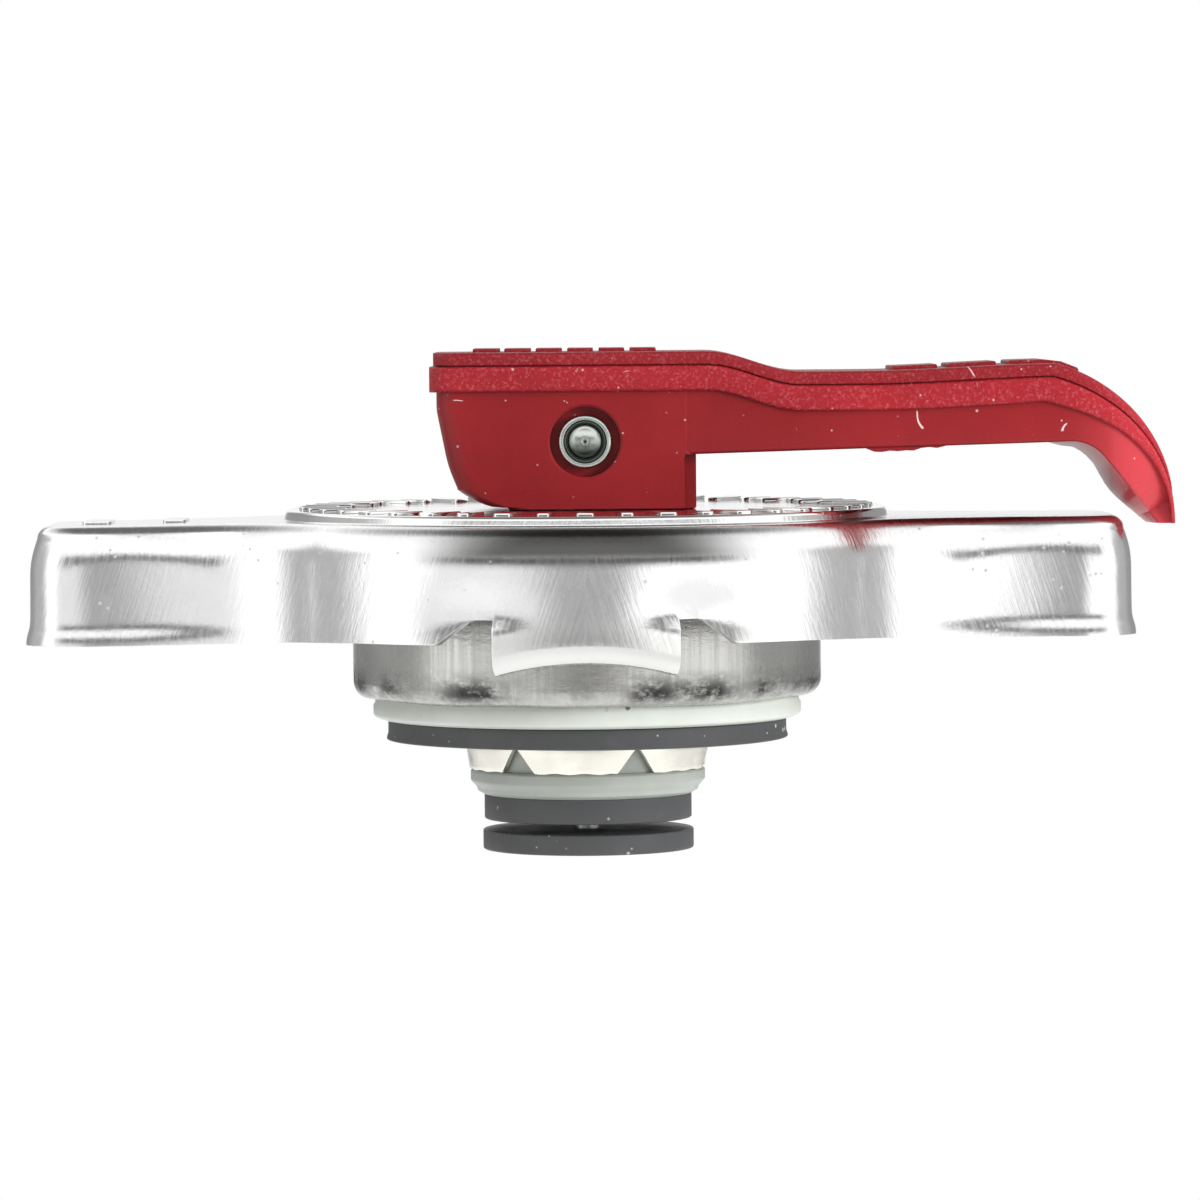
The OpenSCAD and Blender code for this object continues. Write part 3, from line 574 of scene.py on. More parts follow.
def shell_column(x, y, nx, ny, low, lug, crown):
    """One column of the shell's sheet, from the hole in the crown down to the lower edge."""
    a = math.atan2(y, x)
    pts = [(r * math.cos(a), r * math.sin(a), z) for r, z in reversed(crown)]
    tight = lerp(1.0, 0.8, ease((abs(x) - 28.0) / 9.0))
    rim = (x + nx * RIM[0][0] * tight, y + ny * RIM[0][0] * tight)
    foot = pts[-1]
    for i in range(1, 4):
        pts.append((lerp(foot[0], rim[0], i / 4), lerp(foot[1], rim[1], i / 4), TOP_Z))
    arch = 1 + 0.32 * ease((abs(x) - 24) / 3) * min(1.0, (abs(abs(x) - 32.0) / 6.0) ** 2)
    line = [(o * tight, TOP_Z - h * (arch if h > 0.7 else 1.0)) for o, h in RIM]
    line += [(0.0, lerp(line[-1][1], NOTCH_Z, i / 4)) for i in range(1, 5)]
    if not lug:
        low += hem(x) * (NOTCH_Z - low) / (NOTCH_Z - SKIRT_Z)
        line += [(0.0, lerp(NOTCH_Z, low, i / 18)) for i in range(1, 19)]
    for o, z in line:
        o += flare(z, x) - dent(x, y, z)
        pts.append((x + nx * o, y + ny * o, z))
    if lug:
        arch = LUG_Z + 0.5 - 0.85 * (x / LUG_HALF) ** 2
        o = flare(NOTCH_Z, x)
        edge = [(o, lerp(NOTCH_Z, arch + LUG_BEND, i / 4)) for i in range(1, 5)]
        edge += arc((o - LUG_BEND, arch + LUG_BEND), LUG_BEND, 0, -90, 6)[1:]
        edge += [(lerp(o - LUG_BEND, o - LUG_REACH, i / 2), arch) for i in (1, 2)]
        pts += [(x + nx * k, y + ny * k, z) for k, z in edge]
    return [(px, py, pz - droop(px)) for px, py, pz in pts]


def build_shell():
    """The shell's sheet as columns all the way round, the lugs split from the skirt."""
    line = notch_edge()
    right, left = quarter(line, RIGHT_X), quarter(line, LEFT_X)
    cols = list(right)
    cols += [(x, -y, nx, -ny, k) for x, y, nx, ny, k in reversed(right[:-1])]
    cols += [(-x, -y, -nx, -ny, k) for x, y, nx, ny, k in left[1:]]
    cols += [(-x, y, -nx, ny, k) for x, y, nx, ny, k in reversed(left[1:-1])]
    crown = crown_line()
    verts, faces, index = [], [], []

    def emit(x, y, nx, ny, low, lug):
        pts = shell_column(x, y, nx, ny, low, lug, crown)
        verts.extend(pts)
        return (len(verts) - len(pts), len(pts))

    for x, y, nx, ny, kind in cols:
        low = edge_at(abs(x), line) if abs(y) > 15 else SKIRT_Z
        plain = emit(x, y, nx, ny, low, False) if kind != "lug" else None
        lug = emit(x, y, nx, ny, low, True) if kind != "skirt" else None
        index.append((plain, lug))
    for i, a in enumerate(index):
        b = index[(i + 1) % len(index)]
        pair = (a[1], b[1]) if a[1] and b[1] else (a[0], b[0])
        if None in pair:
            continue
        (s, n), (t, _) = pair
        faces += [(s + j, s + j + 1, t + j + 1, t + j) for j in range(n - 1)]
    return verts, faces


shell = piece("stamped_shell", *build_shell(), "cap", M_SHELL, "shell_steel", ("shell",),
              sharp=38, bevel=0.16, segments=3, solid=SHEET)
shell.data.materials.append(M_CROWN)
for face in shell.data.polygons:
    if math.hypot(face.center.x, face.center.y) < CROWN_R * MM and face.center.z > (TOP_Z + 0.1) * MM:
        face.material_index = 1


def raised(outline, z0, z1, soft):
    """Plain raised pad over a flat face: its outline drawn in a little at the top."""
    cx = sum(p[0] for p in outline) / len(outline)
    cy = sum(p[1] for p in outline) / len(outline)
    rings = []
    for z, inset in ((z0, 0.0), (z1 - soft, 0.0), (z1 - 0.3 * soft, 0.3 * soft), (z1, soft)):
        ring = []
        for x, y in outline:
            d = math.hypot(x - cx, y - cy)
            ring.append((lerp(x, cx, inset / d), lerp(y, cy, inset / d), z))
        rings.append(ring)
    return loft(rings)


def joined(parts):
    """Several meshes as one."""
    verts, faces = [], []
    for v, f in parts:
        start = len(verts)
        verts += v
        faces += [tuple(i + start for i in face) for face in f]
    return verts, faces


def crown_pads():
    """Ring of plain raised bars on the crown, in pairs of unequal length."""
    count, r0, r1, rise = 44, 16.9, 20.7, 0.24
    parts = []
    for i in range(count):
        a = 2 * math.pi * i / count
        inner = lerp(r0, r1, 0.0 if i % 2 else 0.22)
        u, v = Vector((math.cos(a), math.sin(a))), Vector((-math.sin(a), math.cos(a)))
        half = 0.62 if i % 2 else 0.45
        corners = [u * inner - v * half, u * r1 - v * half, u * r1 + v * half, u * inner + v * half]
        outline = rounded([(c.x, c.y, 0.25) for c in corners], 3)
        parts.append(raised(outline, CROWN_Z - 0.1, CROWN_Z + rise, 0.12))
    return joined(parts)


def ear_pads():
    """Two short plain bars on the left ear."""
    parts = []
    for x, half in ((-35.2, 1.0), (-29.6, 0.8)):
        z = TOP_Z - droop(x)
        corners = [(x - half, -2.6, 0.3), (x + half, -2.6, 0.3), (x + half, 2.6, 0.3), (x - half, 2.6, 0.3)]
        parts.append(raised(rounded(corners, 3), z - 0.1, z + 0.22, 0.1))
    return joined(parts)


piece("crown_bars", *crown_pads(), "cap", M_CROWN, "shell_steel", sharp=30)
piece("ear_bars", *ear_pads(), "cap", M_SHELL, "shell_steel", sharp=30)


# Bell, carrier, seals and valves

def untrue(amount, count, seed, outside):
    """Shape for a turned piece whose radius is a little uneven outside a limit."""
    return lambda r, z, a: (r + (amount * ripple(a, count, seed) if r > outside else 0), z)


def bell_shape(r, z, a):
    """Uneven crimp round the bell's lower edge."""
    low = max(0.0, 1 - abs(z - BELL_Z - 0.35) / 1.5)
    if r > LIP_R - 0.1 and low > 0:
        lump = ripple(a, 26, 2.3)
        dent = max(0.0, ripple(a, 11, 7.9)) ** 2
        r += low * (0.07 * lump - 0.14 * dent)
        z += low * (0.09 * ripple(a, 19, 5.1) + 0.1 * dent)
    return r, z


bell_line = rounded([
    (EYELET_R + 0.06, BELL_TOP - BELL_T), (EYELET_R + 0.06, BELL_TOP), (BELL_R, BELL_TOP, BELL_EDGE),
    (BELL_R, 8.0), (BELL_R, 6.2), (BELL_R, 5.2), (BELL_R, BELL_Z, BELL_EDGE), (LIP_R, BELL_Z, 0.12),
    (LIP_R, BELL_Z + BELL_T, 0.12), (BELL_R - BELL_T, BELL_Z + BELL_T, BELL_EDGE - BELL_T),
    (BELL_R - BELL_T, BELL_TOP - BELL_T, BELL_EDGE - BELL_T)
], 7)
piece("drawn_bell", *revolve(bell_line, 480, bell_shape), "bell", M_BELL, "bell_steel", ("bell",), sharp=45)

carrier_line = rounded([
    (9.8, 5.1, 0.2), (9.8, 0.36, 0.1), (11.4, 0.36), (11.4, 1.5), (14.75, 1.5, 0.1), (15.45, 1.72, 0.35),
    (15.45, 2.5), (15.3, 2.75), (15.3, 3.7), (15.7, 3.7), (16.25, 4.1), (16.25, 5.1, 0.2)
], 5)
piece("seal_carrier", *revolve(carrier_line, 240, untrue(0.03, 9, 3.3, 14)), "bell", M_GREY,
      "grey_plastic", ("gasket_carrier",), sharp=40)


def seal_shape(r, z, a):
    """Seal ring that isn't quite round or flat."""
    return r + (0.025 * ripple(a, 7, 1.2) if r > 13 else 0), z + 0.02 * ripple(a, 5, 9.1)


ring_line = rounded([
    (11.45, 0.0, 0.12), (14.55, 0.0, 0.1), (14.4, 0.5), (14.4, 1.45, 0.08), (11.45, 1.45, 0.08)
], 4)
piece("neck_seal", *revolve(ring_line, 240, seal_shape), "bell", M_RUBBER, "rubber", ("upper_seal",), sharp=40)


def build_cup():
    """Pressed cup with tabs: an outer sheet with a notched lower edge, thickened inward."""
    n, foot, apex, depth = 6, 1.45, 0.2, 1.7
    cup_r, tip_r, top, tip = 8.8, 8.55, 0.6, -2.1
    pitch = 2 * math.pi / n
    edges = []
    for i in range(n):
        mid = math.radians(-6) + i * pitch
        half = pitch / 2
        a_top, a_foot = half - apex / cup_r, half - foot / tip_r
        for s in (-1, 1):
            for k in range(0, 9):
                t = k / 8
                rise = depth * ease(t) * 0.15 + depth * t * 0.85
                edges.append((mid + s * lerp(a_foot, a_top, t), tip + rise))
        for k in range(1, 14):
            edges.append((mid + lerp(-a_foot, a_foot, k / 14), tip + 0.04 * math.sin(5 * k + i)))
        edges.append((mid + half, tip + depth))
    edges.sort()
    verts, faces = [], []
    upper = [(1.65, top), (4.0, top), (6.5, top)] + arc((cup_r - 1, top - 1), 1.0, 90, 0, 7)
    rows = 6
    count = len(upper) + rows
    for a, low in edges:
        pts = list(upper)
        for i in range(1, rows + 1):
            z = lerp(top - 1, low, i / rows)
            pts.append((lerp(cup_r, tip_r, (top - 1 - z) / (top - 1 - tip)), z))
        verts += [(r * math.sin(a), -r * math.cos(a), z) for r, z in pts]
    m = len(edges)
    for i in range(m):
        for j in range(count - 1):
            k = (i + 1) % m
            faces.append((i * count + j, i * count + j + 1, k * count + j + 1, k * count + j))
    return verts, faces


piece("tabbed_cup", *build_cup(), "pressure_valve", M_CUP, "cup_steel", ("valve_cup",),
      sharp=40, bevel=0.05, solid=0.45)

plug_line = rounded([
    (4.4, 0.05), (7.98, 0.05), (7.98, -2.1), (8.3, -2.15, 0.1), (8.47, -2.3, 0.1), (8.47, -3.0, 0.3),
    (8.05, -3.45, 0.2), (7.95, -3.75, 0.15), (7.5, -4.0), (5.0, -4.0), (5.0, -5.26), (3.6, -5.26),
    (3.6, -4.0), (1.06, -4.0), (1.06, -3.5), (4.4, -3.5)
], 4)
piece("valve_plug", *revolve(plug_line, 200, untrue(0.03, 6, 6.6, 7.6)), "pressure_valve", M_PLUG,
      "grey_plastic", ("valve_body",), sharp=40)

seal_line = rounded([(5.01, -4.01), (5.01, -5.8, 0.1), (7.5, -5.8, 0.15), (7.5, -4.01, 0.06)], 4)
piece("pressure_ring", *revolve(seal_line, 200, untrue(0.02, 5, 4.1, 6)), "pressure_valve", M_RUBBER,
      "rubber", ("pressure_seal",), sharp=40)


def disc_shape(r, z, a):
    """Slightly untrue disc with one nick."""
    if r > 6:
        r += 0.03 * ripple(a, 5, 8.2)
        nick = math.exp(-((a - 2 * math.pi + 0.6) / 0.05) ** 2)
        r -= 0.16 * nick * max(0.0, 1 - abs(z + 7.4) / 0.5)
    return r, z


disc_line = rounded([
    (1.01, -6.55), (1.01, -7.4), (2.55, -7.4), (2.55, -8.0, 0.1), (7.62, -8.0, 0.16), (7.62, -7.3),
    (7.62, -6.55, 0.14), (6.8, -6.55)
], 4)
piece("vacuum_ring", *revolve(disc_line, 260, disc_shape), "vacuum_valve", M_RUBBER,
      "rubber", ("vacuum_disc",), sharp=40)


# Main spring: split into an upper half that rides on the bell and a lower half that rides on the stem

WIRE_R, COIL_R, COIL_TURNS, COIL_DEAD, COIL_SPLIT = 0.7, 7.0, 3.0, 0.5, 0.005
coil_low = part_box("main_spring")[0][2] / MM + WIRE_R
coil_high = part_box("main_spring")[1][2] / MM - WIRE_R


def coil(t0, t1):
    """Part of the coil between two turns."""
    rings = []
    steps = int(48 * (t1 - t0))
    for i in range(steps + 1):
        t = lerp(t0, t1, i / steps)
        a = 2 * math.pi * t
        z = lerp(coil_low, coil_high, min(1.0, max(0.0, (t - COIL_DEAD) / COIL_TURNS)))
        ring = []
        for q, h in arc((0, 0), WIRE_R, 0, 330, 11):
            ring.append(((COIL_R + q) * math.cos(a), (COIL_R + q) * math.sin(a), z + h))
        rings.append(ring)
    return loft(rings)


def shorten(ob):
    """Gives a half of the spring its own copy of its mesh."""
    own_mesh(ob)


half_turns = COIL_TURNS / 2 + COIL_DEAD
spring_upper = piece("spring_upper", *coil(half_turns + COIL_SPLIT, 2 * half_turns), "bell", M_SPRING,
                     "spring_steel", ("main_spring",), sharp=60)
spring_lower = piece("spring_lower", *coil(0, half_turns - COIL_SPLIT), "stem", M_SPRING,
                     "spring_steel", ("main_spring",), sharp=60)
shorten(spring_upper)
shorten(spring_lower)


# Lever pin

pin_face = 7.5
half_pin = rounded([
    (1.5, pin_face - 1.05), (1.9, pin_face - 1.05, 0.08), (1.915, pin_face - 0.06, 0.26),
    (1.56, pin_face - 0.02, 0.08), (1.44, pin_face - 0.5, 0.05), (1.24, pin_face - 0.5, 0.05),
    (1.14, pin_face - 0.3, 0.05)
], 5, closed=False)
dome_r = 1.62
for a in (0.7, 0.6, 0.5, 0.4, 0.3, 0.22):
    half_pin.append((dome_r * math.sin(a), pin_face - 1.55 + dome_r * math.cos(a)))
half_pin += [(r, pin_face + h) for r, h in ((0.3, 0.03), (0.22, -0.02), (0.12, -0.1), (0.0001, -0.12))]
pin_line = half_pin + [(r, -z) for r, z in reversed(half_pin)]
verts, faces = revolve(pin_line, 96)
verts = [(x, -z, y + PIN_Z) for x, y, z in verts]
piece("pivot_pin", verts, faces, "stem", M_PIN, "plated_steel", ("lever_pin",), sharp=50)


# Lever

def top_at(x):
    """Height of the lever's top over the pin at x, before the tip curls."""
    x0 = BLOCK_X + 0.8
    x1 = x0 + 6.7
    x2 = x1 + 4.5
    start = polar(TIP_C, TIP_R, TIP_START)
    if x < x1:
        return TOP_H - DIP * ease((x - x0) / (x1 - x0))
    return lerp(TOP_H - DIP, start[1], ease((x - x2) / (start[0] - x2)))


def polar(c, r, a):
    """Point at an angle in degrees round a centre."""
    return (c[0] + r * math.cos(math.radians(a)), c[1] + r * math.sin(math.radians(a)))


def top_line():
    """Stations along the lever's top: point and the direction down into the plastic."""
    start = polar(TIP_C, TIP_R, TIP_START)
    back = [0.0, 0.02, 0.06, 0.12, 0.2, 0.3, 0.42, 0.56, 0.72, 0.9, 1.15, 1.4, 1.7]
    xs = [b - LIP_X for b in back]
    xs += [lerp(xs[-1], start[0], i / 100) for i in range(1, 101)]
    lean = math.cos(math.radians(TIP_START)) / math.sin(math.radians(TIP_START))
    out = [(x, top_at(x), -lean * ease((x - 28.5) / (start[0] - 28.5)), -1.0) for x in xs]
    for i in range(1, 61):
        a = lerp(TIP_START, 0, i / 60)
        x, z = polar(TIP_C, TIP_R, a)
        out.append((x, z, -math.cos(math.radians(a)), -math.sin(math.radians(a))))
    return [(x, z, *Vector((dx, dz)).normalized()) for x, z, dx, dz in out]


def plan_half(x, half, inset):
    """Half width of the lever at x, with its back and tip corners rounded in plan."""
    back, front = 1.6, 4.0
    b, f = x + LIP_X - inset, TIP_X - inset - x
    y = half
    if b < back:
        y = half - back + math.sqrt(max(0.0, back ** 2 - (back - max(0.0, b)) ** 2))
    if f < front:
        y = min(y, half - front + math.sqrt(max(0.0, front ** 2 - (front - max(0.0, f)) ** 2)))
    return y


def tip_angle(x, z):
    """Angle round the tip's curl, 90 before it starts."""
    return math.degrees(math.atan2(z - TIP_C[1], x - TIP_C[0])) if x > TIP_C[0] else 90.0


def band_depth(x, z):
    """Depth of the grained band: even along the arm, tapering round the tip."""
    return lerp(0.3, CAP_H, ease(tip_angle(x, z) / 75))


def step_depth(x, z):
    """Depth of the step between the top layer and the band."""
    return CAP_STEP * band_depth(x, z) / CAP_H


def section(y, d0, d1, soft_top, soft_low):
    """Closed ring of (y, depth) for one layer."""
    half = rounded([(0, d0), (y, d0, soft_top), (y, d1, soft_low), (0, d1)], 4, closed=False)
    return half + [(-p, d) for p, d in reversed(half[1:-1])]


def layer(half, inset, top, low, soft_top, soft_low):
    """One layer of the lever between two depths under its top."""
    rings = []
    for x, z, dx, dz in top_line():
        if x < -LIP_X + inset - 1e-6:
            continue
        y = plan_half(x, half, inset)
        d0, d1 = top(x, z), low(x, z)
        room = 0.45 * (d1 - d0)
        ring = section(y, d0, d1, min(soft_top, room), min(soft_low, room))
        rings.append([(x + dx * d, q, PIN_Z + z + dz * d) for q, d in ring])
    return loft(rings)


def share(k):
    """Depth that is a share of the step's."""
    return lambda x, z: step_depth(x, z) * k


piece("lever_band", *layer(BAND_Y, 0.0, step_depth, band_depth, 0.24, 0.26), "lever", M_BAND,
      "red_plastic", ("lever",), sharp=40)
piece("lever_top", *layer(TOP_Y, 0.22, share(0.0), share(1 - GROOVE), 0.34, 0.1), "lever", M_TOP,
      "red_plastic", ("lever",), sharp=40)
piece("lever_core", *layer(TOP_Y - 0.3, 0.5, share(0.3), share(1.1), 0, 0), "lever", M_WALL,
      "red_plastic", ("lever",), sharp=40)


def grip_pad(x0, x1, half, rise):
    """Plain raised pad that follows the lever's top."""
    rings = []
    soft = 0.08
    start = polar(TIP_C, TIP_R, TIP_START)
    for t, inset in ((0, soft), (0.02, 0), (0.25, 0), (0.5, 0), (0.75, 0), (0.98, 0), (1, soft)):
        x = lerp(x0, x1, t)
        z = top_at(x) if x < start[0] else TIP_C[1] + math.sqrt(TIP_R ** 2 - (x - TIP_C[0]) ** 2)
        up = rise - inset
        ring = rounded([(-half, -0.4), (half, -0.4), (half, up, soft), (-half, up, soft)], 3)
        rings.append([(x, y, PIN_Z + z + h) for y, h in ring])
    return loft(rings)


pads = [grip_pad(x, x + 1.85, 4.2, 0.26) for x in (-8.0, -5.75, -3.5, -1.25, 1.0, 3.25)]
pads += [grip_pad(x0, x1, 4.6, 0.28) for x0, x1 in ((21.9, 25.2), (25.95, 29.4), (30.3, 35.3))]
piece("grip_pads", *joined(pads), "lever", M_TOP, "red_plastic", sharp=30)


def heel(a):
    """Point on the cam under the pin that rolls on the crown as the lever turns by a degrees."""
    rate = 5.2
    t = math.radians(a)
    h = -FOOT_Z + rate * t
    return (-h * math.sin(t) - rate * math.cos(t), rate * math.sin(t) - h * math.cos(t))


def back_line():
    """Back of the pivot block, from the band down to the foot: x and height over the pin."""
    cam = [heel(50 * i / 32) for i in range(33)]
    wall = rounded([(-10.58, 4.6), (-10.58, 2.3, 4.0), (-9.79, -1.7, 9.0), (-8.5, FOOT_Z)], 12, closed=False)
    end = wall.pop()
    wall += [(lerp(wall[-1][0], end[0], i / 30), lerp(wall[-1][1], end[1], i / 30)) for i in range(1, 31)]
    out = []
    for x, z in wall:
        c = min(cam, key=lambda q: abs(q[0] - x))
        if x > cam[-1][0] and z < c[1] + 0.04:
            break
        out.append((x, z))
    return out + [q for q in reversed(cam) if q[1] < out[-1][1] - 0.05]


def block_ring(x0, x1, z, inset):
    """Plan of the pivot block at one height, its corners rounded."""
    back, front = 1.5, 0.85
    x0, x1, y = x0 + inset, x1 - inset, WALL_Y - inset
    plan = rounded([(x0, -y, back), (x1, -y, front), (x1, y, front), (x0, y, back)], 8)
    return [(q[0], q[1], PIN_Z + z) for q in plan]


def build_block():
    """Pivot block from the band down to its foot, with a softened lower edge."""
    line = back_line()
    rings = [block_ring(x, BLOCK_X, z, 0.0) for x, z in line if z > FOOT_Z + 0.2]
    last = line[-1][0]
    soft = 0.14
    for a in (0, 30, 60, 90):
        turn = math.radians(a)
        rise, inset = soft * (1 - math.sin(turn)), soft * (1 - math.cos(turn))
        rings.append(block_ring(last - 0.35, BLOCK_X, FOOT_Z + rise, inset))
    return loft(rings)


def foot_line(n):
    """Points along the underside of the curled tip, at even distances."""
    bend = arc((LEVEL_X, ARM_END_Z - TIP_IN_R), TIP_IN_R, 90, 90 - TIP_LEAN, 40)
    end = (TIP_IN_X, TIP_C[1])
    last = bend[-1]
    line = bend + [(lerp(last[0], end[0], i / 60), lerp(last[1], end[1], i / 60)) for i in range(1, 61)]
    runs = [0.0]
    for a, b in zip(line, line[1:]):
        runs.append(runs[-1] + math.dist(a, b))
    out = []
    for i in range(n + 1):
        k = min(range(len(runs)), key=lambda j: abs(runs[j] - runs[-1] * i / n))
        out.append(line[k])
    return out


def arm_ring(top, foot, y, soft, belly):
    """Section of the arm from under the band to its underside, which may bulge in the middle."""
    (x0, z0), (x1, z1) = top, foot
    length = math.hypot(x1 - x0, z1 - z0)
    s = min(soft, 0.3 * length)
    half = [(0.0, 0.0), (y, 0.0)]
    half += [polar((y - s, length - s), s, a) for a in (0, 22.5, 45, 67.5, 90)]
    half += [((y - s) * u, length + belly * (1 - u ** 2)) for u in (0.85, 0.7, 0.55, 0.4, 0.2, 0.0)]
    ring = half + [(-q, d) for q, d in reversed(half[1:-1])]
    ux, uz = (x1 - x0) / length, (z1 - z0) / length
    return [(x0 + ux * d, q, PIN_Z + z0 + uz * d) for q, d in ring]


def build_arm():
    """Arm from the pivot block to the end of the curled tip."""
    rings = []
    line = [q for q in top_line() if q[0] > BLOCK_X - 2.5]
    start = polar(TIP_C, TIP_R, TIP_START)[0]
    curl = [q for q in line if q[0] > start + 1e-6]
    under = foot_line(len(curl))
    for x, z, dx, dz in line:
        d = max(0.12, band_depth(x, z) - 0.4)
        if x <= start + 1e-6:
            t = (x - BLOCK_X) / (start - BLOCK_X)
            foot = (lerp(BLOCK_X, LEVEL_X, t), lerp(ARM_Z, ARM_END_Z, t))
            belly = 0.55 * ease((foot[0] - 32.6) / (LEVEL_X - 32.6))
        else:
            k = 1 + [q[0] for q in curl].index(x)
            foot = under[k]
            t = k / len(curl)
            belly = lerp(0.55, 1.15, ease(4.5 * t)) * (1 - 0.55 * ease((t - 0.4) / 0.6))
        y = plan_half(x, WALL_Y, 0.15) - 0.02
        rings.append(arm_ring((x + dx * d, z + dz * d), foot, y, 0.3, belly))
    return loft(rings)


pivot_block = piece("lever_block", *build_block(), "lever", M_WALL, "red_plastic", ("lever",), sharp=40)
arm = piece("lever_arm", *build_arm(), "lever", M_WALL, "red_plastic", ("lever",), sharp=40)


def flash():
    """Thin moulding flash left on the arm's lower edge."""
    depths = [0.02, 0.26, 0.3, 0.22, 0.28, 0.24, 0.27, 0.1, 0.06, 0.14, 0.02]
    rings = []
    for i, d in enumerate(depths):
        x = 20.0 + 0.56 * i
        z = PIN_Z + lerp(ARM_Z, ARM_END_Z, (x - BLOCK_X) / (LEVEL_X - BLOCK_X))
        y = 0.4 - WALL_Y
        profile = ((-0.06, 0.1), (0.06, 0.1), (0.03, -d), (-0.03, -d))
        rings.append([(x, y + across, z + up) for across, up in profile])
    return loft(rings)


piece("arm_flash", *flash(), "lever", M_WALL, "red_plastic", sharp=40)


def cutter(name, verts, faces):
    """A bare mesh object that cuts another one."""
    mesh = bpy.data.meshes.new(name)
    mesh.from_pydata([(x * MM, y * MM, z * MM) for x, y, z in verts], [], faces)
    bm = bmesh.new()
    bm.from_mesh(mesh)
    bmesh.ops.recalc_face_normals(bm, faces=bm.faces)
    bm.to_mesh(mesh)
    bm.free()
    ob = bpy.data.objects.new(name, mesh)
    bpy.context.scene.collection.objects.link(ob)
    return ob


def cut(ob, tools):
    """Takes the tools' shapes out of an object and removes the tools."""
    for t in tools:
        m = ob.modifiers.new("cut", "BOOLEAN")
        m.operation = "DIFFERENCE"
        m.solver = "EXACT"
        m.object = t
    settle(ob)
    for t in tools:
        bpy.data.objects.remove(t)
    finish_mesh(ob, 32)


def turned(profile, n):
    """Solid of revolution about the pin's axis."""
    rings = []
    for r, y in profile:
        rings.append([(q[0], y, PIN_Z + q[1]) for q in arc((0, 0), r, 0, 360 - 360 / n, n - 1)])
    return loft(rings)


def box(x0, x1, y0, y1, z0, z1):
    """Plain block."""
    return loft([[(x, y0, z0), (x, y1, z0), (x, y1, z1), (x, y0, z1)] for x in (x0, x1)])


def eye_slot(half):
    """Slot between the cheeks, clear of the stem's eye and of the stem over the whole swing."""
    swing, sweep, edge, side, deep = math.radians(50), 4.99, 1.8, 3.6, 9.8
    along, across = Vector((-math.sin(swing), -math.cos(swing))), Vector((-math.cos(swing), math.sin(swing)))
    meet = (sweep + edge * across.x) / -along.x
    below = (deep + edge * across.y) / -along.y
    line = [(side, -deep), (side, side), (-sweep, side)]
    line += [meet * along + edge * across, below * along + edge * across]
    return loft([[(q[0], y, PIN_Z + q[1]) for q in line] for y in (-half, half)])


bore_r, bore_y = 2.52, 6.37
sinks = []
for side in (-1, 1):
    line = ((bore_r, bore_y), (bore_r, 7.42), (bore_r + 0.18, 7.6), (bore_r + 0.18, 8.5))
    line = [(r, side * y) for r, y in line]
    sinks.append(cutter("sink", *turned(line, 72)))
sinks.append(cutter("eye_slot", *eye_slot(2.3)))
for y0, y1 in ((-8.5, -5.9), (5.9, 8.5)):
    sinks.append(cutter("block_end", *box(BLOCK_X - 0.85, BLOCK_X + 1, y0, y1, PIN_Z - 8, PIN_Z + ARM_Z)))
cut(pivot_block, sinks)

rib, wall = 1.32, 2.2
pocket_x0, pocket_x1 = BLOCK_X + wall, LEVEL_X - wall
bay = (pocket_x1 - pocket_x0 - rib) / 2
pockets = []
for x in (pocket_x0, pocket_x0 + bay + rib):
    for y0, y1 in ((rib / 2, WALL_Y - wall), (wall - WALL_Y, -rib / 2)):
        pockets.append(cutter("pocket", *box(x, x + bay, y0, y1, PIN_Z - 8, PIN_Z + TOP_H - DIP - CAP_H)))
cut(arm, pockets)


# Studio

floor_mesh = bpy.data.meshes.new("floor")
floor_half = 1.2
corners = [(-1, -1), (1, -1), (1, 1), (-1, 1)]
floor_mesh.from_pydata([(floor_half * x, floor_half * y, 0) for x, y in corners], [], [(0, 1, 2, 3)])
floor = bpy.data.objects.new("floor", floor_mesh)
floor.location = (0, 0, -0.25)
bpy.context.scene.collection.objects.link(floor)
floor.data.materials.append(Nodes("pale_floor").set(
    Base_Color=(0.82, 0.82, 0.82, 1), Roughness=0.9, Emission_Color=(1, 1, 1, 1), Emission_Strength=0.42))


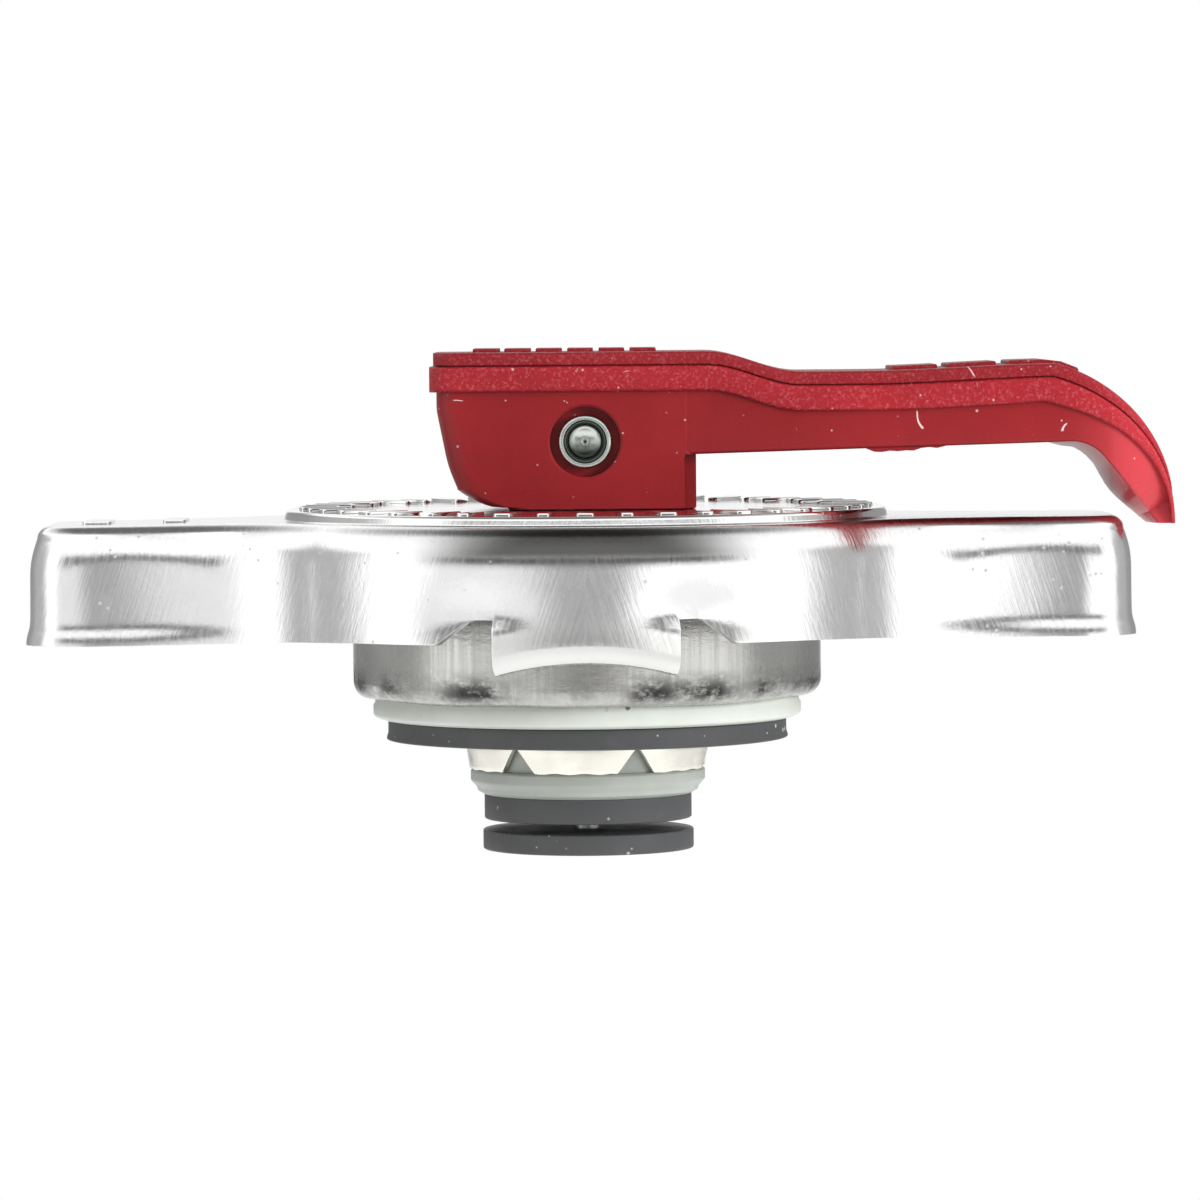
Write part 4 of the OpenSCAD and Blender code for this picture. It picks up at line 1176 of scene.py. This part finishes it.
def studio_world():
    """White room with a grey camera wall, tall soft lights left and right, and dark gaps between."""
    m = Nodes("studio", world=True)
    degrees = 180 / math.pi

    def step(v, a, b):
        return m.span(v, a, b, smooth=True)

    def blend(f, a, b):
        return m.math("ADD", m.math("MULTIPLY", a, m.math("SUBTRACT", 1.0, f)), m.math("MULTIPLY", b, f))

    x, y, z = m.split(m.coord)
    turn = m.math("ARCTAN2", x, m.math("MULTIPLY", y, -1.0))
    az = m.math("MULTIPLY", m.math("ABSOLUTE", turn), degrees)
    el = m.math("MULTIPLY", m.math("ARCSINE", z), degrees)
    front = blend(step(x, 0.05, 0.3), 0.98, 1.45)
    wall = blend(step(az, 7, 26), 0.44, front)
    for start, end, level in ((50, 65, 1.5), (76, 92, 0.52), (112, 140, 0.34), (164, 172, 1.0)):
        wall = blend(step(az, start, end), wall, level)
    gap = m.math("MULTIPLY", step(el, 5, 10), step(el, 25, 18))
    gap = m.math("MULTIPLY", gap, step(az, 62, 40))
    light = blend(gap, wall, 0.22)
    light = blend(step(el, 18, 27), light, 1.35)
    roof = step(m.math("ADD", el, m.math("MULTIPLY", y, 15.0)), 36, 70)
    light = blend(roof, light, 0.16)
    light = blend(m.add("ShaderNodeLightPath", "Is Camera Ray"), light, 1.0)
    bpy.context.scene.world = m.set(Strength=light, Color=(1, 1, 1, 1))


studio_world()


def soft_light(name, place, aim, size, power):
    """Area light that lights the part and isn't mirrored in it."""
    data = bpy.data.lights.new(name, "AREA")
    data.shape = "RECTANGLE"
    data.size, data.size_y = size
    data.energy = power
    ob = bpy.data.objects.new(name, data)
    ob.location = place
    ob.rotation_euler = (Vector(aim) - Vector(place)).to_track_quat("-Z", "Y").to_euler()
    ob.visible_glossy = False
    bpy.context.scene.collection.objects.link(ob)


soft_light("key", (-0.25, -0.55, 0.75), (0, 0, 0.015), (0.5, 0.35), 1.2)
soft_light("tip", (0.2, -0.17, 0.07), (0.04, 0, 0.02), (0.09, 0.09), 0.48)

for name, mat in (
    ("spring_disc", M_SPRING), ("eyelet", M_PLATED), ("bell_washer", M_PLATED), ("stem_seal", M_RUBBER),
    ("stem", M_PLATED), ("lift_washer", M_PLATED), ("vacuum_stem", M_PLATED), ("vacuum_keeper", M_PLATED)
):
    slots = nodes[name].data.materials
    slots.clear()
    slots.append(mat)

camera = bpy.data.cameras.new("camera")
camera.lens = 195
camera.sensor_width = 36
camera.clip_end = 20
view = bpy.data.objects.new("camera", camera)
view.location = (0.00097, -0.4695, 0.03116)
turn = Matrix.Rotation(math.radians(90 - 2.59), 4, "X") @ Matrix.Rotation(math.radians(-0.45), 4, "Z")
view.rotation_euler = turn.to_euler()
bpy.context.scene.collection.objects.link(view)
bpy.context.scene.camera = view
bpy.context.scene.view_settings.view_transform = "Standard"
